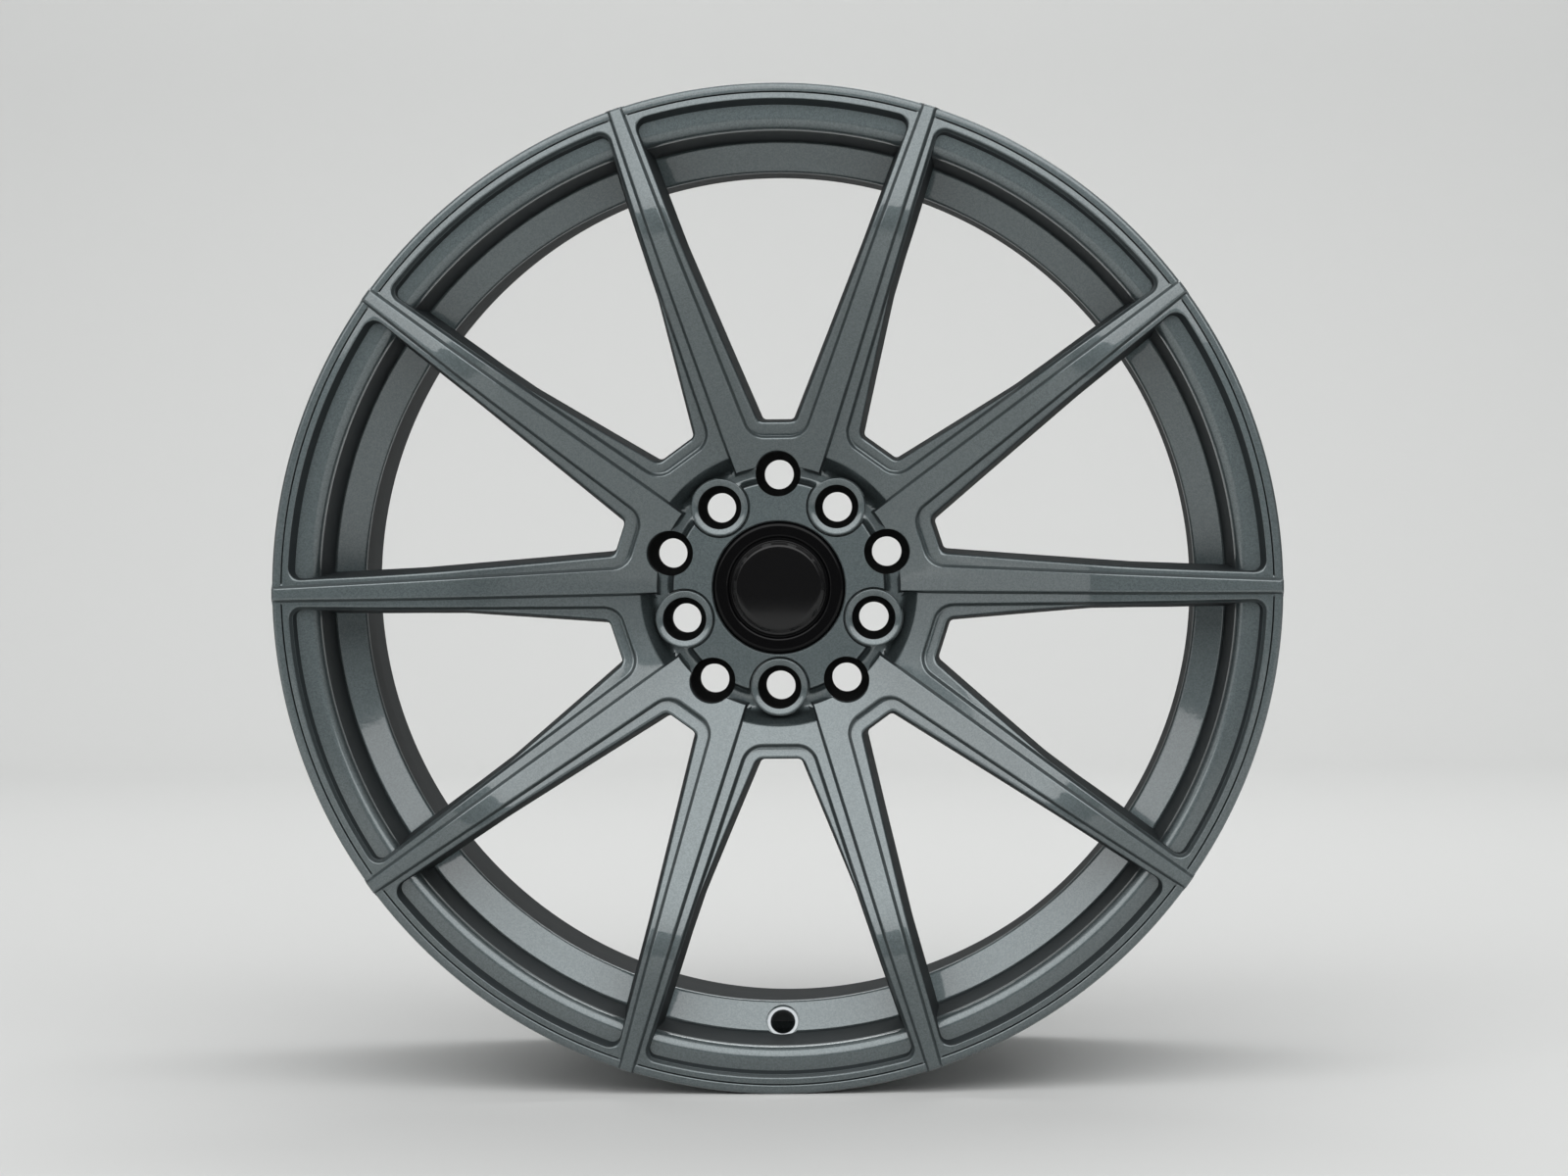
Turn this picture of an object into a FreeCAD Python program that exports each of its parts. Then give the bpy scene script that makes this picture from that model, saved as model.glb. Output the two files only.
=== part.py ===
import FreeCAD, Part
import math
import os

from FreeCAD import Vector

# Ten-spoke cast alloy wheel, size 18 x 8.5, with a snap-in centre cap. Lengths are in millimetres.
# The axle runs along Y and the face looks towards -Y. The origin is the centre of the hub's mounting face.
# A depth is measured along the axle, back from the plane of the front lip.

# Standard rim sizes
BEAD_SEAT_RADIUS = 231.0
RIM_WIDTH = 215.9
FLANGE_HEIGHT = 17.3
FLANGE_THICKNESS = 12.05
WHEEL_OFFSET = 35.0
RIM_WALL = 5.0
SEAT_WIDTH = 21.0
SEAT_TAPER = 1.8
HUMP_HEIGHT = 1.2
HUMP_WIDTH = 14.0
WELL_DROP = 17.0
WELL_RUN = 29.0
SEAT_LAND = 10.5
RAMP_RUN = 6.0
LEG_RUN = 27.0
LEG_DROP = 2.5
HEEL_CHAMFER = 4.5
FLANGE_TIP = 9.0
REAR_FLARE = 14.0

# Front lip, from its outer edge inwards
LIP_CHAMFER = 2.2
LIP_BEAD = 4.4
GROOVE_WIDTH = 0.9
GROOVE_DEPTH = 1.2
BAND_WIDTH = 2.7
STEP_DEPTH = 8.8
STEP_DRAFT = 2.3
STEP_CHAMFER = 4.5

# Spoke face, from the hub out to the lip
SPOKE_PAIRS = 5
RIB_STEP = 3.6
RIB_HUB_RADIUS = 61.0
RIB_HUB_RISE = 3.5
CROWN_FROM_RIM = 71.8
CROWN_DEPTH = -11.0
CROWN_ROUND = 90.0
RIB_TIP_DEPTH = -2.8
RIB_TIP_CHAMFER = 1.6
RIB_ROOT = 1.5
LEDGE_STEP = 4.0

# Offsets of the face's edges from a spoke's middle line, at two stations along it
HUB_STATION = 100.0
STATION_FROM_RIM = 18.3
RIB_NEAR_HUB = 8.9
RIB_NEAR_RIM = 2.9
RIB_FAR_HUB = 2.3
RIB_FAR_RIM = 3.2
NEAR_WINDOW_HUB = 13.6
NEAR_WINDOW_RIM = 6.7
SHELF_HUB = 8.3
SHELF_RIM = 6.8
FAR_WINDOW_HUB = 12.1
FAR_WINDOW_RIM = 4.1

# Where each outline ends towards the hub, and how its corners are rounded
RIB_INNER_END = 74.8
NEAR_WINDOW_END = 80.6
SHELF_INNER_END = 78.5
FAR_WINDOW_END = 83.0
WIDE_CORNER = 11.0
WINDOW_CORNER = 7.0
LIP_CORNER = 6.0
CORNER_LIMIT = 0.9
WINDOW_DRAFT = 0.06

# Backs of the spokes
BACK_HUB_RADIUS = 120.0
BACK_HUB_RISE = 23.0
SPOKE_THICKNESS = 51.0
ROOT_BITE = 1.2
HOLLOW_SKIN = 14.0
HOLLOW_HUB_RADIUS = 98.0
HOLLOW_FROM_WELL = 5.0
HOLLOW_HUB_WIDTH = 17.0
HOLLOW_RIM_WIDTH = 9.0
HOLLOW_ROUNDNESS = 0.6

# Hub
HUB_THICKNESS = 35.0
HUB_FACE_RADIUS = 53.0
CHANNEL_DEPTH = 6.0
SHELF_HUB_RADIUS = 69.5
SHELF_END_SLOPE = 5.0
PAD_RADIUS = 74.0
PAD_CHAMFER = 3.0
BORE_RADIUS = 36.55
BORE_LENGTH = 18.0
BORE_CHAMFER = 1.5
CAP_BORE_RADIUS = 29.5
HOOK_ROOM = 6.0
HOOK_RECESS_WIDTH = 3.5
CAP_SEAT_WIDTH = 4.1
CAP_SEAT_DEPTH = 3.0

# Bolt holes: plain pockets on the wide circle, ringed ones on the narrow circle
WIDE_CIRCLE = 114.3
NARROW_CIRCLE = 100.0
BOLT_HOLE_RADIUS = 7.5
PLAIN_POCKET_RADIUS = 11.35
RINGED_POCKET_RADIUS = 10.85
BOSS_RADIUS = 14.25
BOSS_RISE = 1.0
BOSS_CHAMFER = 1.8
BOSS_GROOVE = 1.1
BOSS_GROOVE_DEPTH = 2.2
SEAT_THICKNESS = 14.0
SEAT_HALF_ANGLE = 30.0

# Valve hole, square to the ramp behind the front bead seat
VALVE_RADIUS = 5.75
VALVE_FACE_RADIUS = 8.5
VALVE_FACE_DEPTH = 0.8
VALVE_ALONG_RAMP = 0.34
VALVE_REACH = 20.0
VALVE_FACE_REACH = 10.0

# Centre cap
CAP_CLEARANCE = 0.3
CAP_RIM_THICKNESS = 3.4
CAP_RIM_CHAMFER = 1.4
CAP_DISH_MARGIN = 1.7
CAP_DISH_DEPTH = 1.0
CAP_PLATE = 2.5
LEG_COUNT = 8
LEG_THICKNESS = 2.2
LEG_GAP = 7.0
LEG_SLACK = 0.2
HOOK_REACH = 1.0
HOOK_SLACK = 0.3
HOOK_LENGTH = 3.0
BADGE_RADIUS = 23.8
BADGE_EDGE = 1.6
BADGE_BEVEL = 2.8
BADGE_CROWN = 1.9
WIRE_RADIUS = 0.8
WIRE_SEAT = 0.4
WIRE_SIDES = 6

# Worked out from the sizes above
RIM_RADIUS = BEAD_SEAT_RADIUS + FLANGE_HEIGHT
WHEEL_WIDTH = RIM_WIDTH + 2 * FLANGE_THICKNESS
MOUNT_DEPTH = WHEEL_WIDTH / 2 - WHEEL_OFFSET
HUB_FACE_DEPTH = MOUNT_DEPTH - HUB_THICKNESS
CHANNEL_FLOOR = HUB_FACE_DEPTH + CHANNEL_DEPTH
RIB_HUB_DEPTH = HUB_FACE_DEPTH - RIB_HUB_RISE
CROWN_RADIUS = RIM_RADIUS - CROWN_FROM_RIM
RIM_STATION = RIM_RADIUS - STATION_FROM_RIM
SPOKE_PITCH = 180.0 / SPOKE_PAIRS
LIP_BAND_RADIUS = RIM_RADIUS - LIP_BEAD - GROOVE_WIDTH
WINDOW_RIM_RADIUS = LIP_BAND_RADIUS - BAND_WIDTH
SEAT_INSIDE = BEAD_SEAT_RADIUS - RIM_WALL
WELL_RADIUS = BEAD_SEAT_RADIUS - WELL_DROP
WELL_INSIDE = WELL_RADIUS - RIM_WALL
SEAT_END_RADIUS = BEAD_SEAT_RADIUS - SEAT_TAPER
SEAT_END_INSIDE = SEAT_END_RADIUS - RIM_WALL
FRONT_HUMP_DEPTH = FLANGE_THICKNESS + SEAT_WIDTH
HUMP_END_DEPTH = FRONT_HUMP_DEPTH + HUMP_WIDTH
RAMP_DEPTH = HUMP_END_DEPTH + SEAT_LAND
WELL_DEPTH = RAMP_DEPTH + RAMP_RUN
LEG_DEPTH = WELL_DEPTH + WELL_RUN + LEG_RUN
REAR_FACE_DEPTH = WHEEL_WIDTH - FLANGE_THICKNESS
REAR_HUMP_DEPTH = REAR_FACE_DEPTH - SEAT_WIDTH
HOLLOW_RIM_RADIUS = WELL_INSIDE - HOLLOW_FROM_WELL
CAP_SEAT_RADIUS = CAP_BORE_RADIUS + CAP_SEAT_WIDTH
CAP_SEAT_FLOOR = HUB_FACE_DEPTH + CAP_SEAT_DEPTH
BORE_FRONT = MOUNT_DEPTH - BORE_LENGTH
CAP_LEDGE_DEPTH = BORE_FRONT - HOOK_ROOM
HOOK_RECESS_RADIUS = CAP_BORE_RADIUS + HOOK_RECESS_WIDTH
BOLT_SEAT_DEPTH = MOUNT_DEPTH - SEAT_THICKNESS
AXLE = Vector(0, -1, 0)
ORIGIN = Vector(0, 0, 0)


def on_section(radius, depth):
    """A point of the half section through the axle."""
    return Vector(radius, depth - MOUNT_DEPTH, 0)


def on_plan(depth):
    """Places the points of a face outline in the plane at that depth."""
    return lambda along, across: Vector(along, depth - MOUNT_DEPTH, across)


def turned_to(shape, angle):
    """The shape turned about the axle, anticlockwise as seen from the front."""
    copy = shape.copy()
    copy.rotate(ORIGIN, AXLE, angle)
    return copy


def rounded_loop(corners, place):
    """A closed wire through corners (u, v, radius), each rounded by its radius."""
    flat = [Vector(u, v, 0) for u, v, radius in corners]
    runs = []
    arcs = []
    for i, (u, v, radius) in enumerate(corners):
        here = flat[i]
        back = (flat[i - 1] - here).normalize()
        ahead = (flat[(i + 1) % len(flat)] - here).normalize()
        if radius == 0:
            runs.append((here, here))
            arcs.append(None)
            continue
        half = back.getAngle(ahead) / 2
        reach = radius / math.tan(half)
        inward = (back + ahead).normalize()
        crest = here + inward * (radius / math.sin(half) - radius)
        runs.append((here + back * reach, here + ahead * reach))
        arcs.append(crest)
    edges = []
    for i, (start, end) in enumerate(runs):
        if arcs[i] is not None:
            bend = [place(p.x, p.y) for p in (start, arcs[i], end)]
            edges.append(Part.Arc(*bend).toShape())
        after = runs[(i + 1) % len(runs)][0]
        edges.append(Part.LineSegment(place(end.x, end.y), place(after.x, after.y)).toShape())
    return Part.Wire(edges)


def turning(corners):
    """The solid that a half section sweeps when it turns once about the axle."""
    face = Part.Face(rounded_loop(corners, on_section))
    return face.revolve(ORIGIN, AXLE, 360)


def drilled(radius, front, back):
    """A round plug along the axle between two depths."""
    return Part.makeCylinder(radius, back - front, on_section(0, front), Vector(0, 1, 0))


def rib_depth(radius):
    """Depth of the ribs' top face at that radius."""
    if radius < CROWN_RADIUS:
        share = (radius - RIB_HUB_RADIUS) / (CROWN_RADIUS - RIB_HUB_RADIUS)
        return RIB_HUB_DEPTH + (CROWN_DEPTH - RIB_HUB_DEPTH) * share
    share = (radius - CROWN_RADIUS) / (RIM_RADIUS - CROWN_RADIUS)
    return CROWN_DEPTH + (RIB_TIP_DEPTH - CROWN_DEPTH) * share


def face_line(start, end, drop, crown_round):
    """Corners of the spoke face between two radii, lowered from the ribs' top by a drop."""
    return [
        (start, rib_depth(start) + drop, 0),
        (CROWN_RADIUS, CROWN_DEPTH + drop, crown_round),
        (end, rib_depth(end) + drop, 0),
    ]


def spoke_edge(radius, offset):
    """A point beside a spoke's middle line, with the nearest window's own middle line along u."""
    half = math.radians(SPOKE_PITCH / 2)
    along = radius * math.cos(half) + offset * math.sin(half)
    across = radius * math.sin(half) - offset * math.cos(half)
    return Vector(along, across, 0)


def window_loop(hub_offset, rim_offset, hub_end, hub_corner, rim_radius, depth, inset):
    """Outline of a window: a flat hub end, two straight sides and an arc along the rim, with round corners."""
    near = spoke_edge(HUB_STATION, hub_offset)
    far = spoke_edge(RIM_STATION, rim_offset)
    side = (far - near).normalize()
    inward = Vector(side.y, -side.x, 0)
    near = near + inward * inset
    end = hub_end + inset
    slope = side.y / side.x
    half_width = near.y + (end - near.x) * slope
    widest = half_width / (math.sqrt(1 + slope * slope) - slope)
    corner = min(hub_corner, CORNER_LIMIT * widest)
    hub_centre_y = half_width + corner * slope - corner * math.sqrt(1 + slope * slope)
    hub_centre = Vector(end + corner, hub_centre_y, 0)
    start = near + inward * LIP_CORNER
    reach = rim_radius - LIP_CORNER
    ahead = start.dot(side)
    run = -ahead + math.sqrt(ahead * ahead - start.dot(start) + reach * reach)
    rim_centre = start + side * run
    rim_way = Vector(rim_centre).normalize()
    hub_crest = (Vector(-1, 0, 0) - inward).normalize()
    rim_crest = (rim_way - inward).normalize()
    upper = [
        Vector(end, hub_centre.y, 0),
        hub_centre + hub_crest * corner,
        hub_centre - inward * corner,
        rim_centre - inward * LIP_CORNER,
        rim_centre + rim_crest * LIP_CORNER,
        rim_centre + rim_way * LIP_CORNER,
    ]
    place = on_plan(depth)
    top = [place(p.x, p.y) for p in upper]
    low = [place(p.x, -p.y) for p in upper]
    edges = [
        Part.LineSegment(low[0], top[0]),
        Part.Arc(top[0], top[1], top[2]),
        Part.LineSegment(top[2], top[3]),
        Part.Arc(top[3], top[4], top[5]),
        Part.Arc(top[5], place(rim_radius, 0), low[5]),
        Part.Arc(low[5], low[4], low[3]),
        Part.LineSegment(low[3], low[2]),
        Part.Arc(low[2], low[1], low[0]),
    ]
    return Part.Wire([edge.toShape() for edge in edges])


def straight_window(hub_offset, rim_offset, hub_end, hub_corner, rim_radius):
    """A window outline carried straight through the whole wheel."""
    front = CROWN_DEPTH - RIB_STEP
    loop = window_loop(hub_offset, rim_offset, hub_end, hub_corner, rim_radius, front, 0)
    return Part.Face(loop).extrude(Vector(0, WHEEL_WIDTH, 0))


def drafted_window(hub_offset, rim_offset, hub_end, hub_corner, rim_radius):
    """A window outline that narrows towards the back with the casting's draft."""
    loops = []
    for depth in (CROWN_DEPTH - RIB_STEP, MOUNT_DEPTH + PAD_CHAMFER):
        inset = WINDOW_DRAFT * depth
        sizes = (hub_offset, rim_offset, hub_end, hub_corner, rim_radius)
        loops.append(window_loop(*sizes, depth, inset))
    return Part.makeLoft(loops, True, True)


def inside_shift(rise, run):
    """How far a ramp's inside corners lie from its outside ones along the axle, for an even wall."""
    return RIM_WALL * math.tan(math.atan2(rise, run) / 2)


def front_ramp():
    """Top and foot of the ramp between the front seat and the well, on the inside of the rim."""
    shift = inside_shift(SEAT_END_RADIUS - WELL_RADIUS, RAMP_RUN)
    return (SEAT_END_INSIDE, RAMP_DEPTH - shift, 0), (WELL_INSIDE, WELL_DEPTH - shift, 0)


def make_rim():
    """The rim's section turned about the axle: lip, flanges, bead seats, humps, drop centre and barrel."""
    groove = RIM_RADIUS - LIP_BEAD
    step_foot = WINDOW_RIM_RADIUS - STEP_DRAFT
    ramp_top, ramp_foot = front_ramp()
    hump = SEAT_END_RADIUS + HUMP_HEIGHT
    leg = SEAT_END_RADIUS - LEG_DROP
    leg_inside = leg - RIM_WALL
    leg_shift = inside_shift(leg - WELL_RADIUS, LEG_RUN)
    inside = [
        (RIM_RADIUS, LIP_CHAMFER, 0),
        (RIM_RADIUS - LIP_CHAMFER, 0, 0),
        (groove, 0, 0),
        (LIP_BAND_RADIUS, GROOVE_DEPTH, 0),
        (WINDOW_RIM_RADIUS, GROOVE_DEPTH, 0),
        (step_foot, STEP_DEPTH, 0),
        (SEAT_INSIDE + STEP_CHAMFER, STEP_DEPTH, 0),
        (SEAT_INSIDE, STEP_DEPTH + STEP_CHAMFER, 0),
        ramp_top,
        ramp_foot,
        (WELL_INSIDE, WELL_DEPTH + WELL_RUN + leg_shift, 0),
        (leg_inside, LEG_DEPTH + leg_shift, 0),
        (leg_inside, REAR_FACE_DEPTH, 0),
        (leg_inside + REAR_FLARE, WHEEL_WIDTH, 0),
    ]
    outside = [
        (RIM_RADIUS - LIP_CHAMFER, WHEEL_WIDTH, 0),
        (RIM_RADIUS, WHEEL_WIDTH - LIP_CHAMFER, 0),
        (RIM_RADIUS, WHEEL_WIDTH - FLANGE_TIP, 0),
        (RIM_RADIUS - HEEL_CHAMFER, REAR_FACE_DEPTH, 0),
        (BEAD_SEAT_RADIUS + HEEL_CHAMFER, REAR_FACE_DEPTH, 0),
        (BEAD_SEAT_RADIUS, REAR_FACE_DEPTH - HEEL_CHAMFER, 0),
        (SEAT_END_RADIUS, REAR_HUMP_DEPTH, 0),
        (hump, REAR_HUMP_DEPTH - HUMP_WIDTH / 2, 0),
        (leg, REAR_HUMP_DEPTH - HUMP_WIDTH, 0),
        (leg, LEG_DEPTH, 0),
        (WELL_RADIUS, WELL_DEPTH + WELL_RUN, 0),
        (WELL_RADIUS, WELL_DEPTH, 0),
        (SEAT_END_RADIUS, RAMP_DEPTH, 0),
        (SEAT_END_RADIUS, HUMP_END_DEPTH, 0),
        (hump, HUMP_END_DEPTH - HUMP_WIDTH / 2, 0),
        (SEAT_END_RADIUS, FRONT_HUMP_DEPTH, 0),
        (BEAD_SEAT_RADIUS, FLANGE_THICKNESS + HEEL_CHAMFER, 0),
        (BEAD_SEAT_RADIUS + HEEL_CHAMFER, FLANGE_THICKNESS, 0),
        (RIM_RADIUS - HEEL_CHAMFER, FLANGE_THICKNESS, 0),
        (RIM_RADIUS, FLANGE_TIP, 0),
    ]
    return turning(inside + outside)


def make_disc():
    """The disc behind the ribs, from the bore to the lip, before its windows are cut."""
    root = SEAT_INSIDE + ROOT_BITE
    hub = [
        (CAP_BORE_RADIUS, HUB_FACE_DEPTH, 0),
        (HUB_FACE_RADIUS, HUB_FACE_DEPTH, 0),
        (HUB_FACE_RADIUS, CHANNEL_FLOOR, 0),
        (SHELF_HUB_RADIUS - SHELF_END_SLOPE, CHANNEL_FLOOR, 0),
    ]
    face = face_line(SHELF_HUB_RADIUS, LIP_BAND_RADIUS, RIB_STEP, CROWN_ROUND)
    back = [
        (LIP_BAND_RADIUS, STEP_DEPTH + ROOT_BITE, 0),
        (SEAT_INSIDE + STEP_CHAMFER, STEP_DEPTH + ROOT_BITE, 0),
        (root, STEP_DEPTH + STEP_CHAMFER, 0),
        (root, HUMP_END_DEPTH, 0),
        (CROWN_RADIUS, CROWN_DEPTH + SPOKE_THICKNESS, 0),
        (BACK_HUB_RADIUS, MOUNT_DEPTH - BACK_HUB_RISE, 0),
        (PAD_RADIUS + PAD_CHAMFER, MOUNT_DEPTH - PAD_CHAMFER, 0),
        (PAD_RADIUS, MOUNT_DEPTH, 0),
        (CAP_BORE_RADIUS, MOUNT_DEPTH, 0),
    ]
    return turning(hub + face + back)


def in_front_of_ledge():
    """Everything in front of the low ledge that lies a step below the shelves."""
    line = face_line(RIB_HUB_RADIUS, RIM_RADIUS, RIB_STEP + LEDGE_STEP, 0)
    ahead = CROWN_DEPTH - RIB_STEP
    return turning([(RIB_HUB_RADIUS, ahead, 0)] + line + [(RIM_RADIUS, ahead, 0)])


def behind_spoke_skin():
    """Everything behind the skin of metal that the hollow spokes keep."""
    start = HOLLOW_HUB_RADIUS
    end = HOLLOW_RIM_RADIUS
    line = face_line(start, end, RIB_STEP + HOLLOW_SKIN, 0)
    return turning(line + [(end, MOUNT_DEPTH, 0), (start, MOUNT_DEPTH, 0)])


def spoke_hollow(skin):
    """The tapered hollow in the back of the spoke that lies along X."""
    wide = HOLLOW_HUB_WIDTH / 2
    slim = HOLLOW_RIM_WIDTH / 2
    corners = [
        (HOLLOW_HUB_RADIUS, -wide, wide * HOLLOW_ROUNDNESS),
        (HOLLOW_RIM_RADIUS, -slim, slim * HOLLOW_ROUNDNESS),
        (HOLLOW_RIM_RADIUS, slim, slim * HOLLOW_ROUNDNESS),
        (HOLLOW_HUB_RADIUS, wide, wide * HOLLOW_ROUNDNESS),
    ]
    loop = rounded_loop(corners, on_plan(CROWN_DEPTH))
    return Part.Face(loop).extrude(Vector(0, WHEEL_WIDTH, 0)).common(skin)


def make_rib():
    """The raised V of one spoke pair: two ribs joined round the hub end of the window between them."""
    root = RIB_STEP + RIB_ROOT
    top = face_line(RIB_HUB_RADIUS, RIM_RADIUS - RIB_TIP_CHAMFER, 0, CROWN_ROUND)
    tip = [
        (RIM_RADIUS, RIB_TIP_DEPTH + RIB_TIP_CHAMFER, 0),
        (RIM_RADIUS, LIP_CHAMFER + RIB_ROOT, 0),
        (LIP_BAND_RADIUS, LIP_CHAMFER + RIB_ROOT, 0),
    ]
    under = [
        (LIP_BAND_RADIUS - RIB_ROOT, rib_depth(LIP_BAND_RADIUS) + root, 0),
        (CROWN_RADIUS, CROWN_DEPTH + root, CROWN_ROUND),
        (SHELF_HUB_RADIUS + RIB_ROOT, rib_depth(SHELF_HUB_RADIUS) + root, 0),
        (SHELF_HUB_RADIUS + RIB_ROOT, CHANNEL_FLOOR + RIB_ROOT, 0),
        (RIB_HUB_RADIUS, CHANNEL_FLOOR + RIB_ROOT, 0),
    ]
    layer = turning(top + tip + under)
    beyond = RIM_RADIUS + LIP_CORNER
    start = RIB_HUB_RADIUS / 2
    slope = (RIB_FAR_RIM - RIB_FAR_HUB) / (RIM_STATION - HUB_STATION)
    inner = spoke_edge(start, -RIB_FAR_HUB - slope * (start - HUB_STATION))
    outer = spoke_edge(beyond, -RIB_FAR_HUB - slope * (beyond - HUB_STATION))
    wedge = [
        (inner.x, -inner.y, 0),
        (outer.x, -outer.y, 0),
        (beyond + outer.y, -outer.y, 0),
        (beyond + outer.y, outer.y, 0),
        (outer.x, outer.y, 0),
        (inner.x, inner.y, 0),
    ]
    front = on_plan(CROWN_DEPTH - RIB_STEP)
    arms = Part.Face(rounded_loop(wedge, front)).extrude(Vector(0, WHEEL_WIDTH, 0))
    middle = straight_window(RIB_NEAR_HUB, RIB_NEAR_RIM, RIB_INNER_END, WIDE_CORNER, beyond + LIP_CORNER)
    return layer.common(arms).cut(middle)


def bolt_cutter(circle, pocket_radius):
    """Pocket, cone seat and bolt hole for one bolt of a circle, on the X axis."""
    cone = (pocket_radius - BOLT_HOLE_RADIUS) / math.tan(math.radians(SEAT_HALF_ANGLE))
    front = CROWN_DEPTH
    back = MOUNT_DEPTH + PAD_CHAMFER
    seat_front = BOLT_SEAT_DEPTH - cone
    pocket = drilled(pocket_radius, front, seat_front)
    start = on_section(0, seat_front)
    seat = Part.makeCone(pocket_radius, BOLT_HOLE_RADIUS, cone, start, Vector(0, 1, 0))
    hole = drilled(BOLT_HOLE_RADIUS, front, back)
    cutter = pocket.fuse([seat, hole])
    cutter.translate(Vector(circle / 2, 0, 0))
    return cutter


def boss_and_groove():
    """The raised ring round one hole of the narrow circle, and the plug that cuts the groove round it."""
    top = HUB_FACE_DEPTH - BOSS_RISE
    ring = drilled(BOSS_RADIUS, top, CHANNEL_FLOOR + RIB_ROOT)
    start = on_section(0, top)
    wide = RINGED_POCKET_RADIUS + BOSS_CHAMFER
    funnel = Part.makeCone(wide, RINGED_POCKET_RADIUS, BOSS_CHAMFER, start, Vector(0, 1, 0))
    ring = ring.cut(funnel)
    groove = drilled(BOSS_RADIUS + BOSS_GROOVE, CROWN_DEPTH, HUB_FACE_DEPTH + BOSS_GROOVE_DEPTH)
    ring.translate(Vector(NARROW_CIRCLE / 2, 0, 0))
    groove.translate(Vector(NARROW_CIRCLE / 2, 0, 0))
    return ring, groove


def valve_cutter():
    """Valve hole and its spot face, square to the ramp and pointing down from the axle."""
    top, foot = [on_section(radius, depth) for radius, depth, rounding in front_ramp()]
    ramp = foot - top
    middle = top + ramp * VALVE_ALONG_RAMP
    outward = Vector(ramp.y, -ramp.x, 0).normalize()
    hole = Part.makeCylinder(VALVE_RADIUS, VALVE_REACH, middle - outward * RIM_WALL, outward)
    face_start = middle + outward * (VALVE_FACE_DEPTH - VALVE_FACE_REACH)
    face = Part.makeCylinder(VALVE_FACE_RADIUS, VALVE_FACE_REACH, face_start, outward)
    return turned_to(hole.fuse(face), -90)


def make_wheel():
    """The casting: rim, disc with its windows, ribs and hub, then the machined holes."""
    sizes_near = (NEAR_WINDOW_HUB, NEAR_WINDOW_RIM, NEAR_WINDOW_END, WINDOW_CORNER, WINDOW_RIM_RADIUS)
    sizes_shelf = (SHELF_HUB, SHELF_RIM, SHELF_INNER_END, WIDE_CORNER, WINDOW_RIM_RADIUS)
    sizes_far = (FAR_WINDOW_HUB, FAR_WINDOW_RIM, FAR_WINDOW_END, WINDOW_CORNER, WINDOW_RIM_RADIUS)
    near_window = drafted_window(*sizes_near)
    far_window = drafted_window(*sizes_far).common(drafted_window(*sizes_shelf))
    ledge_cut = straight_window(*sizes_shelf).common(in_front_of_ledge())
    hollow = spoke_hollow(behind_spoke_skin())
    rib = make_rib()
    boss, groove = boss_and_groove()
    wide_bolt = bolt_cutter(WIDE_CIRCLE, PLAIN_POCKET_RADIUS)
    narrow_bolt = bolt_cutter(NARROW_CIRCLE, RINGED_POCKET_RADIUS)

    pair = 2 * SPOKE_PITCH
    half = SPOKE_PITCH / 2
    disc_cuts = []
    added = []
    holes = []
    for i in range(SPOKE_PAIRS):
        near_angle = half + i * pair
        far_angle = near_angle + SPOKE_PITCH
        disc_cuts.append(turned_to(near_window, near_angle))
        disc_cuts.append(turned_to(far_window, far_angle))
        disc_cuts.append(turned_to(ledge_cut, far_angle))
        disc_cuts.append(turned_to(hollow, near_angle - half))
        disc_cuts.append(turned_to(hollow, near_angle + half))
        disc_cuts.append(turned_to(groove, far_angle))
        added.append(turned_to(rib, near_angle))
        added.append(turned_to(boss, far_angle))
        holes.append(turned_to(wide_bolt, near_angle))
        holes.append(turned_to(narrow_bolt, far_angle))

    holes.append(drilled(CAP_BORE_RADIUS, HUB_FACE_DEPTH - CHANNEL_DEPTH, MOUNT_DEPTH + PAD_CHAMFER))
    holes.append(drilled(CAP_SEAT_RADIUS, HUB_FACE_DEPTH - CHANNEL_DEPTH, CAP_SEAT_FLOOR))
    holes.append(drilled(HOOK_RECESS_RADIUS, CAP_LEDGE_DEPTH, MOUNT_DEPTH))
    holes.append(drilled(BORE_RADIUS, BORE_FRONT, MOUNT_DEPTH + PAD_CHAMFER))
    mouth_start = on_section(0, MOUNT_DEPTH - BORE_CHAMFER)
    mouth_end = BORE_RADIUS + BORE_CHAMFER
    holes.append(Part.makeCone(BORE_RADIUS, mouth_end, BORE_CHAMFER, mouth_start, Vector(0, 1, 0)))
    holes.append(valve_cutter())

    disc = make_disc().cut(disc_cuts)
    casting = make_rim().fuse([disc] + added)
    return casting.cut(holes).removeSplitter()


def cap_sizes():
    """The cap's own radii and depths, worked out from the seat that it snaps into."""
    rim = CAP_SEAT_RADIUS - CAP_CLEARANCE
    leg_outer = CAP_BORE_RADIUS - LEG_SLACK
    front = CAP_SEAT_FLOOR - CAP_RIM_THICKNESS
    hook = CAP_LEDGE_DEPTH + HOOK_SLACK
    return rim, leg_outer, front, hook


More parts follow.
